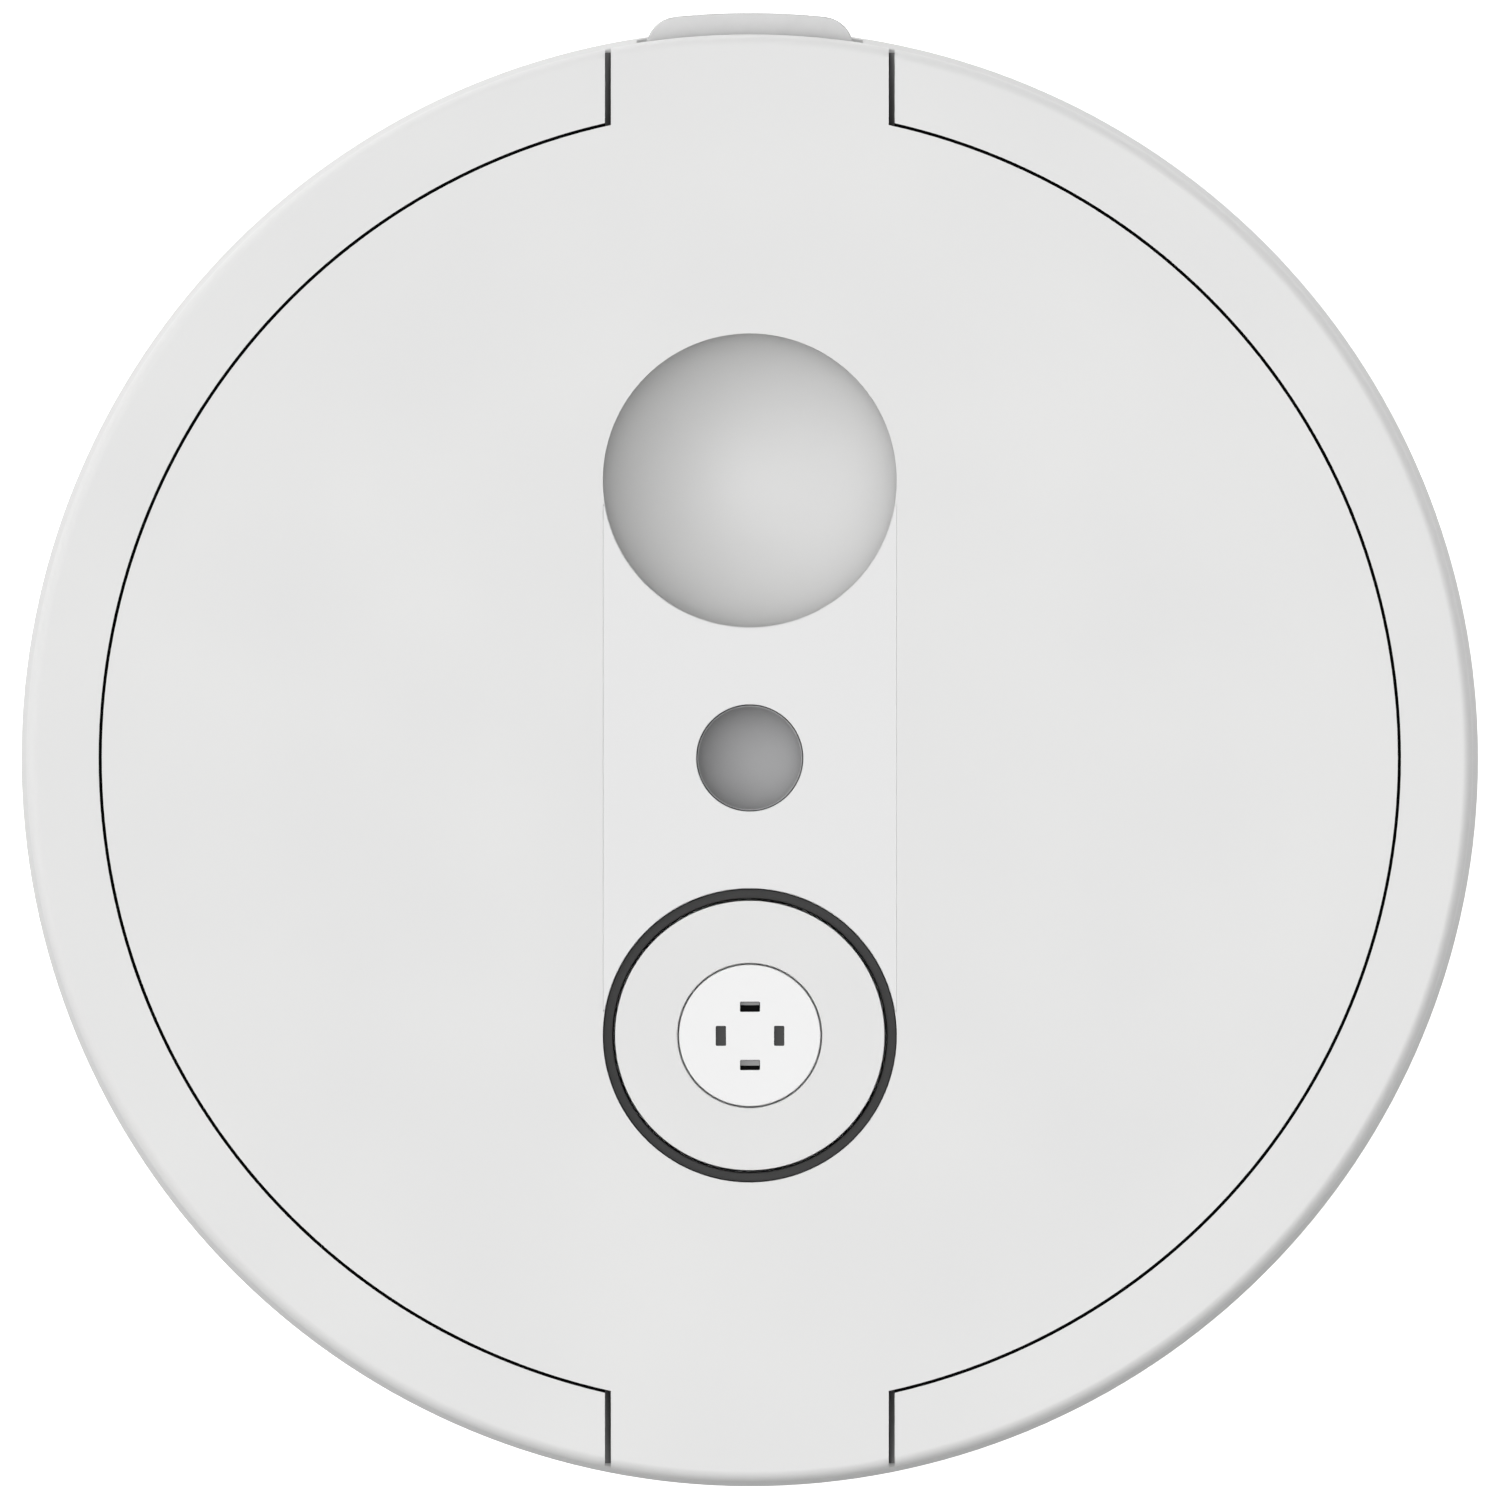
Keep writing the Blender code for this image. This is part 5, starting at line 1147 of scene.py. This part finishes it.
def rimPiece(word):
    spot = middle(f"{word}_rim")
    half, seat, web, hub = wheel["width"] / 2, wheel["seat"], wheel["web"], wheel["hub"]
    place, axle = at(*spot) @ alongX, wheel["axle"]
    edge, inner = (seat - lip for lip in wheel["lip"])
    profile = [
        (seat, half, 0.3),
        (seat, -half, 0.3),
        (edge, -half, 0.3),
        (inner, -web, 0.5),
        (hub + 0.6, -web, 0.5),
        (hub, -half, 0.4),
        (axle, -half),
        (axle, half),
        (hub, half, 0.4),
        (hub + 0.6, web, 0.5),
        (inner, web, 0.5),
        (edge, half, 0.3),
    ]
    holes = []
    for k in range(wheel["holes"]):
        spread = around((hub + inner) / 2, 360 * k / wheel["holes"] + 90)
        hole = rod(wheel["holeRadius"], -half - 1, half + 1, place @ spread, 40)
        holes.append((cut, hole))
    bm = carved(turned(rounded(profile, 4), 96, place), *holes)
    return softened(bm, 0.25, lambda p: abs(abs(p.x - spot.x) - web) < 0.05, 2, 60)


for word in ("left", "right"):
    body = f"{word}_wheel"
    rubber = tyrePiece(word)
    addPiece(f"{word}_tread", rubber, "tyreRubber", body, [f"{word}_tyre"], 30)
    addPiece(f"{word}_hub", rimPiece(word), "rimGrey", body, [f"{word}_rim"])
print("floor, casters and wheels made")


# Rear socket and switch

rear = {
    "tongueHalf": 3.2,
    "tongueThick": 0.7,
    "mouthDepth": 5.6,
    "shellWall": 0.35,
    "groovePitch": 0.9,
    "grooveDepth": 0.35,
    "grooveHalf": 0.18,
}


def usbPiece():
    low, high = corners("usb_socket")
    shell = openingAlongY((low.x, low.z), (high.x, high.z), 1.45, low.y, high.y)
    mouthBox = grownBox("usb_socket", -rear["shellWall"])
    mouth = openingAlongY(*mouthBox, 1.15, low.y - 1, low.y + rear["mouthDepth"])
    spot = (low + high) / 2
    half, thick = rear["tongueHalf"], rear["tongueThick"] / 2
    tongueLow = (spot.x - half, low.y + 0.6, spot.z - thick)
    tongue = block(tongueLow, (spot.x + half, low.y + 6, spot.z + thick))
    return carved(shell, (cut, mouth), (join, softened(tongue, 0.12)))


def knobPiece():
    low, high = corners("power_switch_knob")
    spot = (low + high) / 2
    bm = softened(block(low, high), 0.25)
    depth, half = rear["grooveDepth"], rear["grooveHalf"]
    grooves = []
    for k in (-1, 0, 1):
        x = spot.x + k * rear["groovePitch"]
        groove = block((x - half, low.y - 1, low.z - 1), (x + half, low.y + depth, high.z + 1))
        grooves.append((cut, groove))
    return carved(bm, *grooves)


addPiece("charging_socket", usbPiece(), "zincScrew", "chassis", ["usb_socket"])
nodes = ["power_switch_knob"]
addPiece("switch_slider", knobPiece(), "blackNylon", "power_knob", nodes)


# Pieces inside keep their solids and get their own finish

insideFinish = {
    "gear_acetal": "acetal",
    "steel": "groundSteel",
    "motor_can": "motorCan",
    "board_green": "circuitBoard",
    "part_black": "blackNylon",
    "battery_wrap": "batteryWrap",
    "guide_grey": "guideGrey",
    "shell_white": "baseWhite",
}
slotOf = {row["node"]: row["material_slot"] for row in frame["record"]["subparts"]}
for node, obj in frame["nodes"].items():
    if obj.hide_render:
        continue
    finish = materials[insideFinish[slotOf[node]]]
    if not obj.material_slots:
        obj.data.materials.append(finish)
    for entry in obj.material_slots:
        entry.material = finish
print("inside finished")


# Floor, light and camera

studio = {
    "halfSide": 2.0,
    "domeRadius": 4.0,
    "floorGlow": 0.72,
    "above": 6.4,  # a big soft box right overhead
    "aboveFocus": 16,
    "lamps": ((135, 40, 1.02), (180, 40, 2.0)),  # direction, height in degrees and strength
    "lampFocus": 12,
    "below": 1.12,  # light thrown back up by the pale floor, stronger at the front
    "belowLean": (-0.1, 0.65, 0),
    "sky": 0.06,
    "cameraAt": (0.00002, 0.00082, 0.6),
    "cameraWidth": 0.15442,
}


def stageMaterial(name, glow, white):
    made = bpy.data.materials.new(name)
    made.use_nodes = True
    shader = made.node_tree.nodes["Principled BSDF"]
    shader.inputs["Base Color"].default_value = (white, white, white, 1)
    shader.inputs["Roughness"].default_value = 0.9
    shader.inputs["Emission Color"].default_value = (1, 1, 1, 1)
    shader.inputs["Emission Strength"].default_value = glow
    return made


def stagePiece(name, bm, material):
    obj = asObject(bm, name)
    obj.data.materials.append(material)
    obj.visible_diffuse = False
    obj.visible_glossy = False
    return obj


floorMesh = bmesh.new()
bmesh.ops.create_grid(floorMesh, x_segments=1, y_segments=1, size=studio["halfSide"])
floor = stagePiece("floor", floorMesh, stageMaterial("paleFloor", studio["floorGlow"], 0.8))
floor.visible_shadow = False  # the light from below passes it
domeMesh = bmesh.new()
bmesh.ops.create_uvsphere(domeMesh, u_segments=48, v_segments=24, radius=studio["domeRadius"])
bmesh.ops.reverse_faces(domeMesh, faces=domeMesh.faces)
dome = stagePiece("backdrop", domeMesh, stageMaterial("paleBackdrop", 1.0, 0.0))
dome.visible_shadow = False
dome.visible_transmission = False

world = bpy.data.worlds.new("softStudio")
world.use_nodes = True
bpy.context.scene.world = world
tree = world.node_tree
direction = addNode(tree, "TexCoord").outputs["Generated"]


def toward(vector):
    both = addNode(tree, "VectorMath", {1: vector}, {0: direction}, operation="DOT_PRODUCT")
    return both.outputs["Value"]


def math2(operation, first, second):
    sockets = {i: v for i, v in enumerate((first, second)) if not isinstance(v, (int, float))}
    values = {i: v for i, v in enumerate((first, second)) if isinstance(v, (int, float))}
    return addNode(tree, "Math", values, sockets, operation=operation).outputs[0]


def softBox(vector, focus, strength):
    spread = math2("POWER", math2("MAXIMUM", toward(vector), 0.0), float(focus))
    return math2("MULTIPLY", spread, float(strength))


under = math2("ADD", toward(studio["belowLean"]), studio["below"])
level = math2("MULTIPLY", under, math2("LESS_THAN", toward((0, 0, 1)), 0.0))
level = math2("ADD", level, studio["sky"])
level = math2("ADD", level, softBox((0, 0, 1), studio["aboveFocus"], studio["above"]))
for turn, height, strength in studio["lamps"]:
    turn, height = math.radians(turn), math.radians(height)
    aim = (math.cos(height) * math.cos(turn), math.cos(height) * math.sin(turn), math.sin(height))
    level = math2("ADD", level, softBox(aim, studio["lampFocus"], strength))
tree.links.new(level, tree.nodes["Background"].inputs["Strength"])
tree.nodes["Background"].inputs["Color"].default_value = (1, 1, 1, 1)

camera = bpy.data.objects.new("camera", bpy.data.cameras.new("camera"))
bpy.context.scene.collection.objects.link(camera)
camera.data.type = "ORTHO"
camera.data.ortho_scale = studio["cameraWidth"]
camera.data.clip_start = 0.01
camera.location = studio["cameraAt"]
bpy.context.scene.camera = camera
bpy.context.scene.view_settings.view_transform = "Standard"

print("scene ready")
